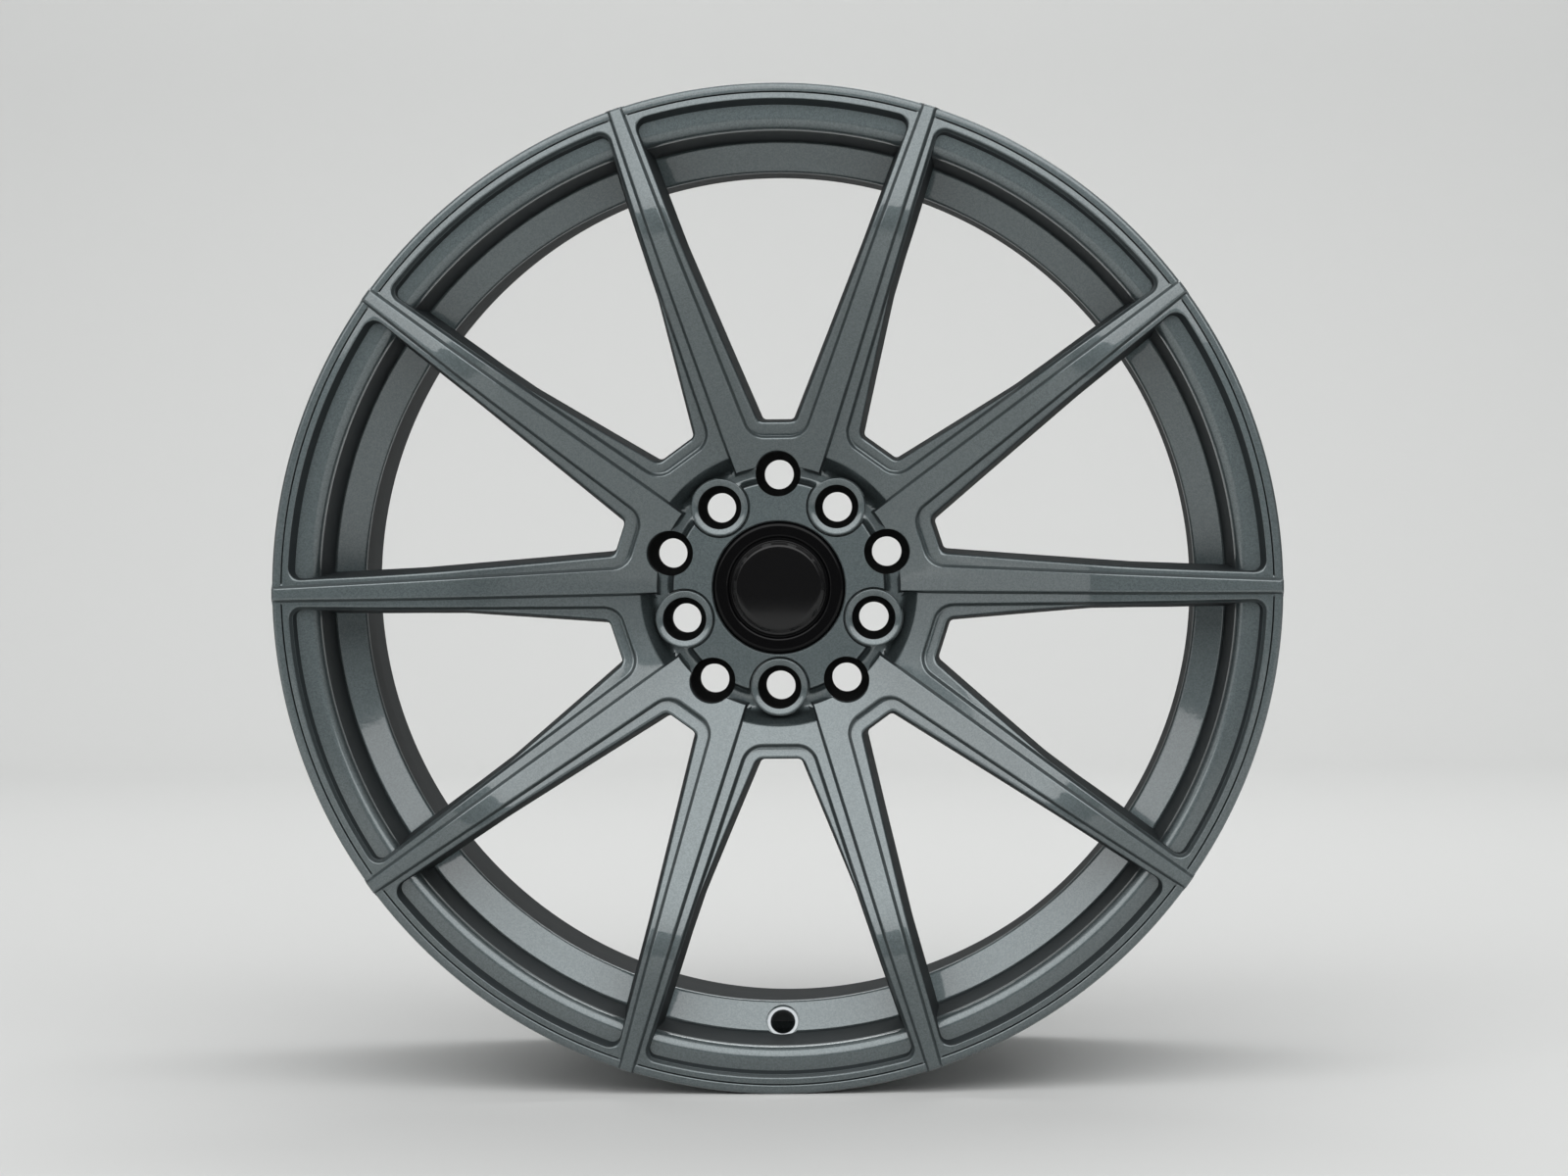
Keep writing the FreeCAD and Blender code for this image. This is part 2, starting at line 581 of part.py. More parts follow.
def make_cap_body():
    """The moulded cap: a bevelled rim round a dished front, and a ring of hooked snap legs."""
    rim, leg_outer, front, hook = cap_sizes()
    leg_inner = leg_outer - LEG_THICKNESS
    dish = front + CAP_DISH_DEPTH
    dish_radius = BADGE_RADIUS + CAP_DISH_MARGIN
    plate = dish + CAP_PLATE
    shell = [
        (0, dish, 0),
        (dish_radius, dish, 0),
        (dish_radius + CAP_DISH_DEPTH, front, 0),
        (rim - CAP_RIM_CHAMFER, front, 0),
        (rim, front + CAP_RIM_CHAMFER, 0),
        (rim, CAP_SEAT_FLOOR, 0),
        (leg_outer, CAP_SEAT_FLOOR, 0),
        (leg_outer, hook, 0),
        (leg_outer + HOOK_REACH, hook + HOOK_REACH / 2, 0),
        (leg_outer, hook + HOOK_LENGTH, 0),
        (leg_inner, hook + HOOK_LENGTH, 0),
        (leg_inner, plate, 0),
        (0, plate, 0),
    ]
    body = turning(shell)
    gap = Part.makeBox(CAP_BORE_RADIUS, HUB_THICKNESS, LEG_GAP)
    gap.translate(on_section(leg_inner - LEG_THICKNESS, CAP_SEAT_FLOOR) - Vector(0, 0, LEG_GAP / 2))
    gaps = [turned_to(gap, i * 360.0 / LEG_COUNT) for i in range(LEG_COUNT)]
    return body.cut(gaps + [make_cap_ring()])


def make_cap_ring():
    """The sprung wire's ring, drawn six-sided and let into the inside of the legs by its seat."""
    rim, leg_outer, front, hook = cap_sizes()
    radius = leg_outer - LEG_THICKNESS + WIRE_SEAT - WIRE_RADIUS
    corners = []
    for i in range(WIRE_SIDES):
        angle = 2 * math.pi * i / WIRE_SIDES
        across = radius + WIRE_RADIUS * math.cos(angle)
        corners.append((across, hook + WIRE_RADIUS * math.sin(angle), 0))
    return turning(corners)


def make_cap_badge():
    """The bare disc bonded into the cap's dish, with a broad bevel round its front."""
    rim, leg_outer, front, hook = cap_sizes()
    back = front + CAP_DISH_DEPTH
    edge = back - BADGE_EDGE
    crown = edge - BADGE_CROWN
    section = [
        (0, back, 0),
        (0, crown, 0),
        (BADGE_RADIUS - BADGE_BEVEL, crown, 0),
        (BADGE_RADIUS, edge, 0),
        (BADGE_RADIUS, back, 0),
    ]
    return turning(section)


os.makedirs("parts", exist_ok=True)
make_wheel().exportStep("parts/wheel.step")
make_cap_body().exportStep("parts/cap_body.step")
make_cap_badge().exportStep("parts/cap_badge.step")
make_cap_ring().exportStep("parts/cap_ring.step")
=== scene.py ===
"""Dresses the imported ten-spoke wheel: a smooth painted casting, a gloss black centre cap and a plain studio.

Shapes are worked out in millimetres on the wheel's face. The coordinates u and v lie in the face, and the depth runs
back from the plane of the front lip. `to_frame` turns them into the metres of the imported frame.
"""

import logging
import math
from collections.abc import Callable
from dataclasses import dataclass, field, replace
from enum import Enum
from typing import Any

import bmesh
import bpy
import numpy as np
from bpy.types import Material, Mesh, Node, NodeSocket, NodeTree, Object
from mathutils import Matrix, Vector
from numpy.typing import NDArray


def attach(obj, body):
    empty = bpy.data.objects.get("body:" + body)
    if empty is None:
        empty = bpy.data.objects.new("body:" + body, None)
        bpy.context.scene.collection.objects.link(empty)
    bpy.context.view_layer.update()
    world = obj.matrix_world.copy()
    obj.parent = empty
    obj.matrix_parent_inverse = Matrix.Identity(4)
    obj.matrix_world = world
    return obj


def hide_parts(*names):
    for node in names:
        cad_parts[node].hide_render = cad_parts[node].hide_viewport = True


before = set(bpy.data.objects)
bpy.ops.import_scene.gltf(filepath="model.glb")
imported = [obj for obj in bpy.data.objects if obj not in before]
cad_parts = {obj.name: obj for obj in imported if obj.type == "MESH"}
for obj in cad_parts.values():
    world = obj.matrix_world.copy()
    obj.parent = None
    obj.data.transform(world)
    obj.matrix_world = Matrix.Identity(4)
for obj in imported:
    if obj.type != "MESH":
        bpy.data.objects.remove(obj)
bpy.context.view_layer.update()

Grid = NDArray[np.float64]
Mask = NDArray[np.bool_]
Triple = tuple[float, float, float]

LOG = logging.getLogger("wheel")
MM = 0.001
BODY = "root"
MERGE_DISTANCE = 0.00001
SMALL_HOLE = 6
SHARP_ANGLE = math.radians(32.0)
NEARLY_STRAIGHT = 0.9999
ROUNDING_SHARE = 0.45

# Measures that several parts of the casting share, in millimetres and degrees
RIM_RADIUS = 248.27
MOUNT_DEPTH = 85.0
SPOKE_PAIRS = 5
PAIR_PITCH = 360.0 / SPOKE_PAIRS
HALF_PITCH = PAIR_PITCH / 4
NEAR_ANGLE = HALF_PITCH
FAR_ANGLE = 3 * HALF_PITCH
HUB_STATION = 100.0
RIM_STATION = 230.0
CORNER_LIMIT = 0.9
WIDE_CIRCLE = 57.15
PLAIN_POCKET = 11.35

# Sockets of a mix node for colours, which share their names with other sockets and so go by number
FIRST_TONE, SECOND_TONE, MIXED_TONE = 6, 7, 2


class Carving(Enum):
    """How one closed mesh acts on another."""

    CUT = "DIFFERENCE"
    JOIN = "UNION"


def smooth_step(values: Grid, low: float, high: float) -> Grid:
    """Runs from 0 at low to 1 at high along 3t^2 - 2t^3."""
    share = np.clip((values - low) / (high - low), 0.0, 1.0)
    return share * share * (3.0 - 2.0 * share)


def stretches(runs: tuple[Triple, ...]) -> Grid:
    """Places along a line, in runs that each have a start, an end that is left out, and a step."""
    return np.concatenate([np.arange(*run) for run in runs])


def between(first: Grid, second: Grid, share: float) -> Grid:
    """The points that lie a share of the way from the first to the second."""
    return first + (second - first) * share


def radius_of(plan: Grid) -> Grid:
    """Distance of plan points from the axle."""
    return np.hypot(plan[..., 0], plan[..., 1])


def on_circle(radius: Grid | float, degrees: Grid) -> Grid:
    """Plan points at a radius and angles about the axle."""
    angle = np.radians(degrees)
    return np.stack((radius * np.cos(angle), radius * np.sin(angle)), axis=-1)


def at_depth(plan: Grid, depth: Grid) -> Grid:
    """Plan points joined with their depths as u, v, depth."""
    return np.concatenate((plan, depth[..., None]), axis=-1)


def on_level(plan: Grid, level: Callable[[Grid], Grid]) -> Grid:
    """Plan points laid on a surface that is given by its depth at a radius."""
    return at_depth(plan, level(radius_of(plan)))


def turned(points: Grid, degrees: float, mirrored: bool = False) -> Grid:
    """Turns points about the axle, anticlockwise as seen from the front.

    Args:
        points: u, v, depth in the last axis.
        degrees: the angle.
        mirrored: v changes its sign first.

    Returns:
        The turned points, in the same layout.
    """
    cos, sin = math.cos(math.radians(degrees)), math.sin(math.radians(degrees))
    u, v = points[..., 0], points[..., 1] * (-1.0 if mirrored else 1.0)
    return np.stack((u * cos - v * sin, u * sin + v * cos, points[..., 2]), axis=-1)


def to_frame(points: Grid) -> Grid:
    """Turns u, v, depth in millimetres into x, y, z in metres: x is u, y is the depth behind the hub face, z is v."""
    return np.stack((points[..., 0], points[..., 2] - MOUNT_DEPTH, points[..., 1]), axis=-1) * MM


def rounded(rails: list[Grid], radii: list[float | Grid], steps: int = 4) -> Grid:
    """Rounds the corners of a run of rails.

    Each corner becomes a rational quadratic curve from a point on the rail before to one on the rail after. Its middle
    weight is the sine of half the corner's angle, which makes the curve a circle's arc of the asked radius.

    Args:
        rails: rows of points in the order in which the surface crosses them.
        radii: the rounding at each rail, or at each of its points; 0 where the corner stays.
        steps: how many faces a rounding has.

    Returns:
        The rails with each rounded one replaced by its curve, as one array.
    """
    rows: list[Grid] = []
    for index, (corner, radius) in enumerate(zip(rails, radii)):
        if np.max(radius) == 0.0 or index in (0, len(rails) - 1):
            rows.append(corner)
            continue
        back, ahead = rails[index - 1] - corner, rails[index + 1] - corner
        back_length = np.linalg.norm(back, axis=-1, keepdims=True)
        ahead_length = np.linalg.norm(ahead, axis=-1, keepdims=True)
        back, ahead = back / back_length, ahead / ahead_length
        cosine = np.clip((back * ahead).sum(-1, keepdims=True), -NEARLY_STRAIGHT, NEARLY_STRAIGHT)
        half = np.arccos(cosine) / 2
        reach = np.minimum(radius / np.tan(half), ROUNDING_SHARE * np.minimum(back_length, ahead_length))
        start, end, weight = corner + back * reach, corner + ahead * reach, np.sin(half)
        for t in np.linspace(0.0, 1.0, steps + 1):
            shares = (1 - t) ** 2, 2 * t * (1 - t) * weight, t**2
            rows.append((start * shares[0] + corner * shares[1] + end * shares[2]) / sum(shares))
    return np.array(rows)


def rounded_profile(corners: list[Triple], steps: int = 4) -> Grid:
    """Rounds a profile given as radius, depth and rounding, and gives its radii and depths."""
    rails = [np.array([[radius, 0.0, depth]]) for radius, depth, rounding in corners]
    return rounded(rails, [rounding for radius, depth, rounding in corners], steps)[:, 0, ::2]


def revolved(profile: Grid, segments: int, first: float = 0.0) -> Grid:
    """Carries a profile of radii and depths round the axle.

    The point at profile place s and angle a is (r(s) cos a, r(s) sin a, d(s)).

    Args:
        profile: rows of radius and depth.
        segments: how many faces go round.
        first: the angle of the first column, in degrees.

    Returns:
        A grid of profile places by angles, whose last column isn't repeated.
    """
    angles = first + np.linspace(0.0, 360.0, segments, endpoint=False)
    plan = on_circle(profile[:, :1], angles[None, :])
    return at_depth(plan, np.broadcast_to(profile[:, 1:], plan.shape[:2]))


@dataclass
class Patchwork:
    """Grids and single faces gathered into one mesh."""

    points: list[Grid] = field(default_factory=list)
    faces: list[list[int]] = field(default_factory=list)
    count: int = 0

    def add_grid(self, grid: Grid, round_u: bool = False, round_v: bool = False) -> int:
        """Adds a grid of points with a four-sided face in each of its cells.

        Args:
            grid: points by row and column.
            round_u: the last row joins the first.
            round_v: the last column joins the first.

        Returns:
            The number of the grid's first point.
        """
        rows, columns = grid.shape[:2]
        first = self.count
        numbers = np.arange(rows * columns).reshape(rows, columns) + first
        if round_u:
            numbers = np.concatenate((numbers, numbers[:1]), axis=0)
        if round_v:
            numbers = np.concatenate((numbers, numbers[:, :1]), axis=1)
        cells = (numbers[:-1, :-1], numbers[1:, :-1], numbers[1:, 1:], numbers[:-1, 1:])
        self.faces.extend(np.stack(cells, axis=-1).reshape(-1, 4).tolist())
        self.points.append(grid.reshape(-1, 3))
        self.count += rows * columns
        return first

    def add_face(self, numbers: NDArray[np.int64]) -> None:
        """Adds one face through points that are already there."""
        self.faces.append(numbers.tolist())

    def piece(self, name: str) -> Object:
        """Makes the object, with doubles merged and faces pointing outwards.

        Args:
            name: the object's name.

        Returns:
            The object, at the origin.
        """
        mesh = bpy.data.meshes.new(name)
        mesh.from_pydata(to_frame(np.concatenate(self.points)), [], self.faces)
        piece = bpy.data.objects.new(name, mesh)
        bpy.context.scene.collection.objects.link(piece)
        close_mesh(mesh)
        return piece


def round_piece(name: str, grid: Grid, round_u: bool = False) -> Object:
    """Makes a piece of one grid whose last column joins the first.

    Args:
        name: the object's name.
        grid: points by row and column.
        round_u: the last row joins the first as well.

    Returns:
        The object, at the origin.
    """
    sheet = Patchwork()
    sheet.add_grid(grid, round_u, round_v=True)
    return sheet.piece(name)


def close_mesh(mesh: Mesh, other: Mesh | None = None) -> None:
    """Merges doubles, drops faces without area, fills gaps of a few sides and turns every face outwards.

    Args:
        mesh: the mesh that is closed in place.
        other: a second mesh that is sewn on first.
    """
    build = bmesh.new()
    build.from_mesh(mesh)
    if other is not None:
        build.from_mesh(other)
    bmesh.ops.remove_doubles(build, verts=build.verts, dist=MERGE_DISTANCE)
    bmesh.ops.dissolve_degenerate(build, edges=build.edges, dist=MERGE_DISTANCE / 10)
    bmesh.ops.holes_fill(build, edges=build.edges, sides=SMALL_HOLE)
    bmesh.ops.recalc_face_normals(build, faces=build.faces)
    build.to_mesh(mesh)
    build.free()


def discard(piece: Object) -> None:
    """Removes an object through its mesh, which takes the object along."""
    bpy.data.meshes.remove(piece.data)


def carve(piece: Object, tool: Object, carving: Carving) -> None:
    """Cuts a closed tool out of a closed piece, or joins it on, and removes the tool.

    Args:
        piece: the object whose mesh changes.
        tool: the object that acts on it.
        carving: what it does.
    """
    step = piece.modifiers.new("carving", "BOOLEAN")
    step.operation = carving.value
    step.solver = "EXACT"
    step.object = tool
    shapes = bpy.context.evaluated_depsgraph_get()
    shapes.update()
    result = bpy.data.meshes.new_from_object(piece.evaluated_get(shapes))
    piece.modifiers.remove(step)
    old = piece.data
    piece.data = result
    result.name = piece.name
    bpy.data.meshes.remove(old)
    discard(tool)


def smooth(piece: Object) -> Object:
    """Shades a piece smooth between its sharp edges, with the flats kept flat.

    Args:
        piece: the object to shade.

    Returns:
        The same object.
    """
    piece.data.shade_smooth()
    piece.data.set_sharp_from_angle(angle=SHARP_ANGLE)
    piece.modifiers.new("flats", "WEIGHTED_NORMAL").keep_sharp = True
    return piece


@dataclass(frozen=True)
class FaceLevels:
    """Depths of the disc's surfaces at a radius."""

    hub_radius: float = 61.0
    hub_depth: float = 46.5
    crown_radius: float = 176.5
    crown_depth: float = -11.0
    crown_round: float = 90.0
    tip_depth: float = -2.8
    rib_step: float = 3.6
    ledge_step: float = 4.0
    skin: float = 14.0
    channel_floor: float = 56.0
    channel_edge: float = 63.0
    shelf_edge: float = 69.5
    back_radii: tuple[float, ...] = (77.0, 120.0, 176.5, 227.0, 228.4, 230.5, 243.2)
    back_depths: tuple[float, ...] = (82.0, 62.0, 40.0, 47.0, 14.0, 10.0, 9.9)

    def top(self, radius: Grid | float) -> Grid:
        """Depth of the ribs' top: two straight cones with a round crown between them.

        Args:
            radius: distances from the axle.

        Returns:
            The depths.
        """
        inner = (self.crown_depth - self.hub_depth) / (self.crown_radius - self.hub_radius)
        outer = (self.tip_depth - self.crown_depth) / (RIM_RADIUS - self.crown_radius)
        lean, rise = math.atan(inner), math.atan(outer)
        reach = self.crown_round * math.tan((rise - lean) / 2)
        start = self.crown_radius - reach * math.cos(lean)
        end = self.crown_radius + reach * math.cos(rise)
        middle = start - self.crown_round * math.sin(lean)
        centre = self.crown_depth - reach * math.sin(lean) + self.crown_round * math.cos(lean)
        bend = centre - np.sqrt(np.maximum(self.crown_round**2 - (radius - middle) ** 2, 0.0))
        near = self.crown_depth + inner * (radius - self.crown_radius)
        far = self.crown_depth + outer * (radius - self.crown_radius)
        return np.where(radius < start, near, np.where(radius < end, bend, far))

    def base(self, radius: Grid | float) -> Grid:
        """Depth of the shelves beside the ribs."""
        return self.top(radius) + self.rib_step

    def ledge(self, radius: Grid) -> Grid:
        """Depth of the low ledge round the far windows."""
        return self.base(radius) + self.ledge_step

    def floor(self, radius: Grid) -> Grid:
        """Depth that a rib stands on: the shelf, or the slope and channel floor towards the hub.

        Args:
            radius: distances from the axle.

        Returns:
            The depths.
        """
        ends = self.channel_floor, float(self.base(self.shelf_edge))
        slope = np.interp(radius, (self.channel_edge, self.shelf_edge), ends)
        return np.where(radius < self.shelf_edge, slope, self.base(radius))

    def back(self, radius: Grid | float) -> Grid:
        """Depth of the spokes' backs."""
        return np.interp(radius, self.back_radii, self.back_depths)


def spoke_edge(along: Grid | float, offset: Grid | float) -> Grid:
    """Finds plan points beside a spoke's middle line, with the nearest window's own middle line along u.

    Args:
        along: distances along the spoke's middle line.
        offset: distances from that line, towards the window.

    Returns:
        The points.
    """
    half = math.radians(HALF_PITCH)
    u = along * math.cos(half) + offset * math.sin(half)
    v = along * math.sin(half) - offset * math.cos(half)
    return np.stack((u, v), axis=-1)


def nearest_on_arc(points: Grid, centre: Grid, radius: float, start: Grid, end: Grid) -> tuple[Grid, Grid, Grid]:
    """Nearest points on an arc that runs clockwise between two directions.

    Args:
        points: plan points.
        centre: the arc's centre.
        radius: the arc's radius.
        start: direction of its first point from the centre.
        end: direction of its last point.

    Returns:
        The nearest points, the directions from them to the centre, and the share of the arc passed at each.
    """
    first = math.atan2(start[1], start[0])
    sweep = (first - math.atan2(end[1], end[0])) % (2 * math.pi)
    away = points - centre
    passed = first - np.arctan2(away[:, 1], away[:, 0])
    passed = np.clip((passed + math.pi) % (2 * math.pi) - math.pi, 0.0, sweep)
    way = np.stack((np.cos(first - passed), np.sin(first - passed)), axis=-1)
    return centre + way * radius, -way, passed / sweep


@dataclass(frozen=True)
class WindowOutline:
    """Upper half of a window: a flat hub end, a straight side and an arc along the rim, with round corners."""

    hub_offset: float
    rim_offset: float
    hub_end: float
    hub_corner: float
    rim_radius: float = 240.3
    rim_corner: float = 6.0

    def side(self) -> tuple[Grid, Grid]:
        """Finds the straight side.

        Returns:
            A point on it, and its direction outwards.
        """
        near = spoke_edge(HUB_STATION, self.hub_offset)
        far = spoke_edge(RIM_STATION, self.rim_offset)
        return near, (far - near) / np.linalg.norm(far - near)

    def nearest(self, points: Grid) -> tuple[Grid, Grid, Grid]:
        """Nearest points of the outline to plan points outside it.

        Args:
            points: plan points with v at least 0.

        Returns:
            The nearest points, the directions into the window there, and how far each has left the side for the rim
            arc, from 0 to 1.
        """
        near, side = self.side()
        inward = np.array((side[1], -side[0]))
        slope = side[1] / side[0]
        stretch = math.hypot(1.0, slope)
        half_width = near[1] + (self.hub_end - near[0]) * slope
        corner = min(self.hub_corner, CORNER_LIMIT * half_width / (stretch - slope))
        hub_centre = np.array((self.hub_end + corner, half_width + corner * (slope - stretch)))
        start = near + inward * self.rim_corner
        reach = self.rim_radius - self.rim_corner
        ahead = start @ side
        rim_centre = start + side * (math.sqrt(ahead**2 - start @ start + reach**2) - ahead)
        rim_way = rim_centre / reach

        hub_v = np.clip(points[:, 1], 0.0, hub_centre[1])
        hub_line = np.stack((np.full_like(hub_v, self.hub_end), hub_v), axis=-1)
        first, last = hub_centre - inward * corner, rim_centre - inward * self.rim_corner
        run = np.clip((points - first) @ side, 0.0, (last - first) @ side)
        side_line = first + run[:, None] * side
        hub_arc = nearest_on_arc(points, hub_centre, corner, np.array((-1.0, 0.0)), -inward)
        rim_bend = nearest_on_arc(points, rim_centre, self.rim_corner, -inward, rim_way)
        rim_arc = nearest_on_arc(points, np.zeros(2), self.rim_radius, rim_way, np.array((1.0, 0.0)))

        nothing = np.zeros(len(points))
        feet = np.stack((hub_line, hub_arc[0], side_line, rim_bend[0], rim_arc[0]))
        hub_way = np.broadcast_to((1.0, 0.0), points.shape)
        ways = np.stack((hub_way, hub_arc[1], np.broadcast_to(inward, points.shape), rim_bend[1], rim_arc[1]))
        rimness = np.stack((nothing, nothing, nothing, rim_bend[2], nothing + 1.0))
        best = np.linalg.norm(feet - points, axis=-1).argmin(axis=0)
        column = np.arange(len(points))
        return feet[best, column], ways[best, column], smooth_step(rimness[best, column], 0.0, 1.0)


@dataclass
class SpokeDisc:
    """The casting inside the rim: hub, shelves, windows and hollow spoke backs."""

    levels: FaceLevels = field(default_factory=FaceLevels)
    near_window: WindowOutline = WindowOutline(13.6, 6.7, 80.6, 7.0)
    shelf: WindowOutline = WindowOutline(8.3, 6.8, 78.5, 11.0)
    far_window: WindowOutline = WindowOutline(12.1, 4.1, 83.0, 7.0)
    side_draft: float = 0.06
    rim_draft: float = 0.26
    ledge_slope: float = 1.3
    least_ledge: float = 0.08
    hub_join: float = 72.0
    back_join: float = 77.5
    rim_join: float = 243.2
    join_end: float = 110.0
    join_slack: float = 0.1
    join_span: tuple[float, float] = (0.02, 0.98)
    hub_step: float = 1.5
    corner_angles: Triple = (17.7, 14.0, -0.3)
    rim_angles: tuple[float, float, int] = (14.0, 0.0, 13)
    near_shares: tuple[float, float] = (0.35, 0.7)
    near_round: float = 1.8
    shelf_round: float = 0.8
    far_round: float = 1.2
    back_round: float = 1.5
    hollow_edge: float = 0.46
    hollow_floor: float = 0.37
    hollow_from: float = 98.0
    hollow_to: float = 204.0
    hollow_end: float = 8.0
    hole_segments: int = 72
    hole_phase: float = 1.3
    narrow_circle: float = 50.0
    ringed_pocket: float = 10.85
    pocket_slack: float = 0.01
    bolt_hole: float = 7.5
    bolt_seat: float = 71.0
    seat_half_angle: float = 30.0
    plug_front: float = 30.0
    plain_front: float = 40.0
    plug_back: float = 95.0
    boss_radius: float = 14.25
    boss_top: float = 49.0
    boss_foot: float = 57.5
    boss_round: float = 0.45
    groove_radius: float = 15.35
    groove_floor: float = 55.5
    groove_round: float = 0.5
    ring_width: float = 2.2
    ring_drop: float = 0.9
    ring_round: float = 0.4

    def middle_line(self) -> Grid:
        """Distances along a spoke's middle line at which the surfaces are worked out, closer together at the ends."""
        runs = (84.0, 110.0, 3.25), (110.0, 150.0, 6.5), (150.0, 206.0, 3.5), (206.0, 227.0, 5.0)
        return np.concatenate((stretches(((self.hub_join, 84.0, 1.5), *runs)), np.linspace(227.0, self.rim_join, 15)))

    def path(self, hub_radius: float, shift: float = 0.0) -> tuple[Grid, int]:
        """Plan path round half a window: hub arc, spoke's middle line and rim arc.

        Args:
            hub_radius: radius of the hub arc.
            shift: how much further out the path's hub end lies than on the front.

        Returns:
            The points, and how many of them lie on the rim arc.
        """
        hub = on_circle(hub_radius, np.arange(0.0, HALF_PITCH, self.hub_step))
        along = self.middle_line()
        along = along + shift * np.clip((self.join_end - along) / (self.join_end - self.hub_join), 0.0, 1.0)
        spoke = on_circle(along, np.full_like(along, HALF_PITCH))
        rim_angles = np.concatenate((np.arange(*self.corner_angles), np.linspace(*self.rim_angles)))
        rim = on_circle(self.rim_join, rim_angles)
        return np.concatenate((hub, spoke, rim)), len(rim_angles) + 1

    def draft(self, rimness: Grid) -> Grid:
        """Lean of a window's wall: the casting's draft at the sides, the lip's step along the rim."""
        return (self.side_draft + (self.rim_draft - self.side_draft) * rimness)[:, None]

    def back_rails(self, edge: Grid) -> tuple[list[Grid], list[float]]:
        """Rails behind a spoke, from the window's back edge to the floor of the hollow.

        Args:
            edge: the window's edge on the back, with its depths.

        Returns:
            The rails and their roundings.
        """
        middle, _ = self.path(self.back_join, self.back_join - self.hub_join)
        along = radius_of(middle)
        rise = smooth_step(along, self.hollow_from, self.hollow_from + self.hollow_end)
        fall = smooth_step(along, self.hollow_to - self.hollow_end, self.hollow_to)
        floor = self.levels.base(along) + self.levels.skin
        back = self.levels.back(along)
        deep = back + (floor - back) * rise * (1.0 - fall)
        brink = on_level(between(middle, edge[:, :2], self.hollow_edge), self.levels.back)
        foot = at_depth(between(middle, edge[:, :2], self.hollow_floor), deep)
        return [edge, brink, foot, at_depth(middle, deep)], [self.back_round, self.back_round, self.back_round, 0.0]

    def near_rails(self) -> Grid:
        """Rails across half a near window: shelf, rounded edge, drafted wall and back.

        Returns:
            The rails, by row and place along the path.
        """
        middle, _ = self.path(self.hub_join)
        foot, inward, rimness = self.near_window.nearest(middle)
        draft = self.draft(rimness)
        deep = self.levels.back(radius_of(foot))
        edge = foot + inward * draft * self.levels.base(radius_of(foot))[:, None]
        wall = foot + inward * draft * deep[:, None]
        plans = [middle, *(between(middle, edge, share) for share in self.near_shares), edge]
        back, back_radii = self.back_rails(at_depth(wall, deep))
        rails = [on_level(plan, self.levels.base) for plan in plans]
        return rounded(rails + back, [0.0, 0.0, 0.0, self.near_round] + back_radii)

    def far_rails(self) -> Grid:
        """Rails across half a far window: shelf, sloping step, low ledge, drafted wall and back.

        Returns:
            The rails, by row and place along the path.
        """
        middle, _ = self.path(self.hub_join)
        shelf, into, shelf_rimness = self.shelf.nearest(middle)
        foot, inward, rimness = self.far_window.nearest(middle)
        step = shelf + into * self.ledge_slope
        least = self.ledge_slope + self.least_ledge
        draft = self.draft(rimness)
        ledge = self.levels.ledge(radius_of(foot))[:, None]
        deep = self.levels.back(radius_of(foot))[:, None]
        edge = foot + inward * draft * ledge
        wide = (((edge - shelf) * into).sum(-1) > least)[:, None]
        edge = np.where(wide, edge, shelf + into * least)
        slim_wall = shelf + into * (least + self.draft(shelf_rimness) * (deep - ledge))
        wall = np.where(wide, foot + inward * draft * deep, slim_wall)
        high = [on_level(plan, self.levels.base) for plan in (middle, between(middle, shelf, 0.5), shelf)]
        low = [on_level(plan, self.levels.ledge) for plan in (step, edge)]
        back, back_radii = self.back_rails(at_depth(wall, deep[:, 0]))
        radii = [0.0, 0.0, self.shelf_round, self.shelf_round, self.far_round]
        return rounded(high + low + back, radii + back_radii)

    def spokes(self) -> Object:
        """Builds the shelves, windows and backs of all spokes.

        Returns:
            One mesh, open where the hub is sewn in.
        """
        sheets = Patchwork()
        front, rim_count = self.path(self.hub_join)
        outer = np.stack([on_level(front[-rim_count:], level) for level in (self.levels.base, self.levels.back)])
        near, far = self.near_rails(), self.far_rails()
        for pair in range(SPOKE_PAIRS):
            for rails, angle in ((near, NEAR_ANGLE), (far, FAR_ANGLE)):
                for mirrored in (False, True):
                    sheets.add_grid(turned(rails, angle + pair * PAIR_PITCH, mirrored))
                    sheets.add_grid(turned(outer, angle + pair * PAIR_PITCH, mirrored))
        return sheets.piece("spoke_disc")

    def hub_profile(self) -> Grid:
        """Section of the hub: channel, face, cap seat, bore, pad and, to close it, a wall that is taken off later.

        Returns:
            Its radii and depths.
        """
        corners = [
            (self.hub_join, float(self.levels.base(self.hub_join)), 0.0),
            (self.levels.shelf_edge, float(self.levels.base(self.levels.shelf_edge)), 3.0),
            (self.levels.channel_edge, self.levels.channel_floor, 4.5),
            (54.4, self.levels.channel_floor, 3.2), (53.1, 50.0, 1.1), (33.95, 50.0, 0.15),
            (33.6, 50.35, 0.1), (33.6, 53.0, 0.0), (29.5, 53.0, 0.3), (29.5, 61.0, 0.3),
            (33.0, 61.0, 0.0), (33.0, 67.0, 0.3), (36.55, 67.0, 0.0), (36.55, 83.5, 0.3),
            (38.05, MOUNT_DEPTH, 0.3), (74.0, MOUNT_DEPTH, 0.5), (77.0, 82.0, 0.0),
            (self.back_join, float(self.levels.back(self.back_join)), 0.0),
        ]
        return rounded_profile(corners)

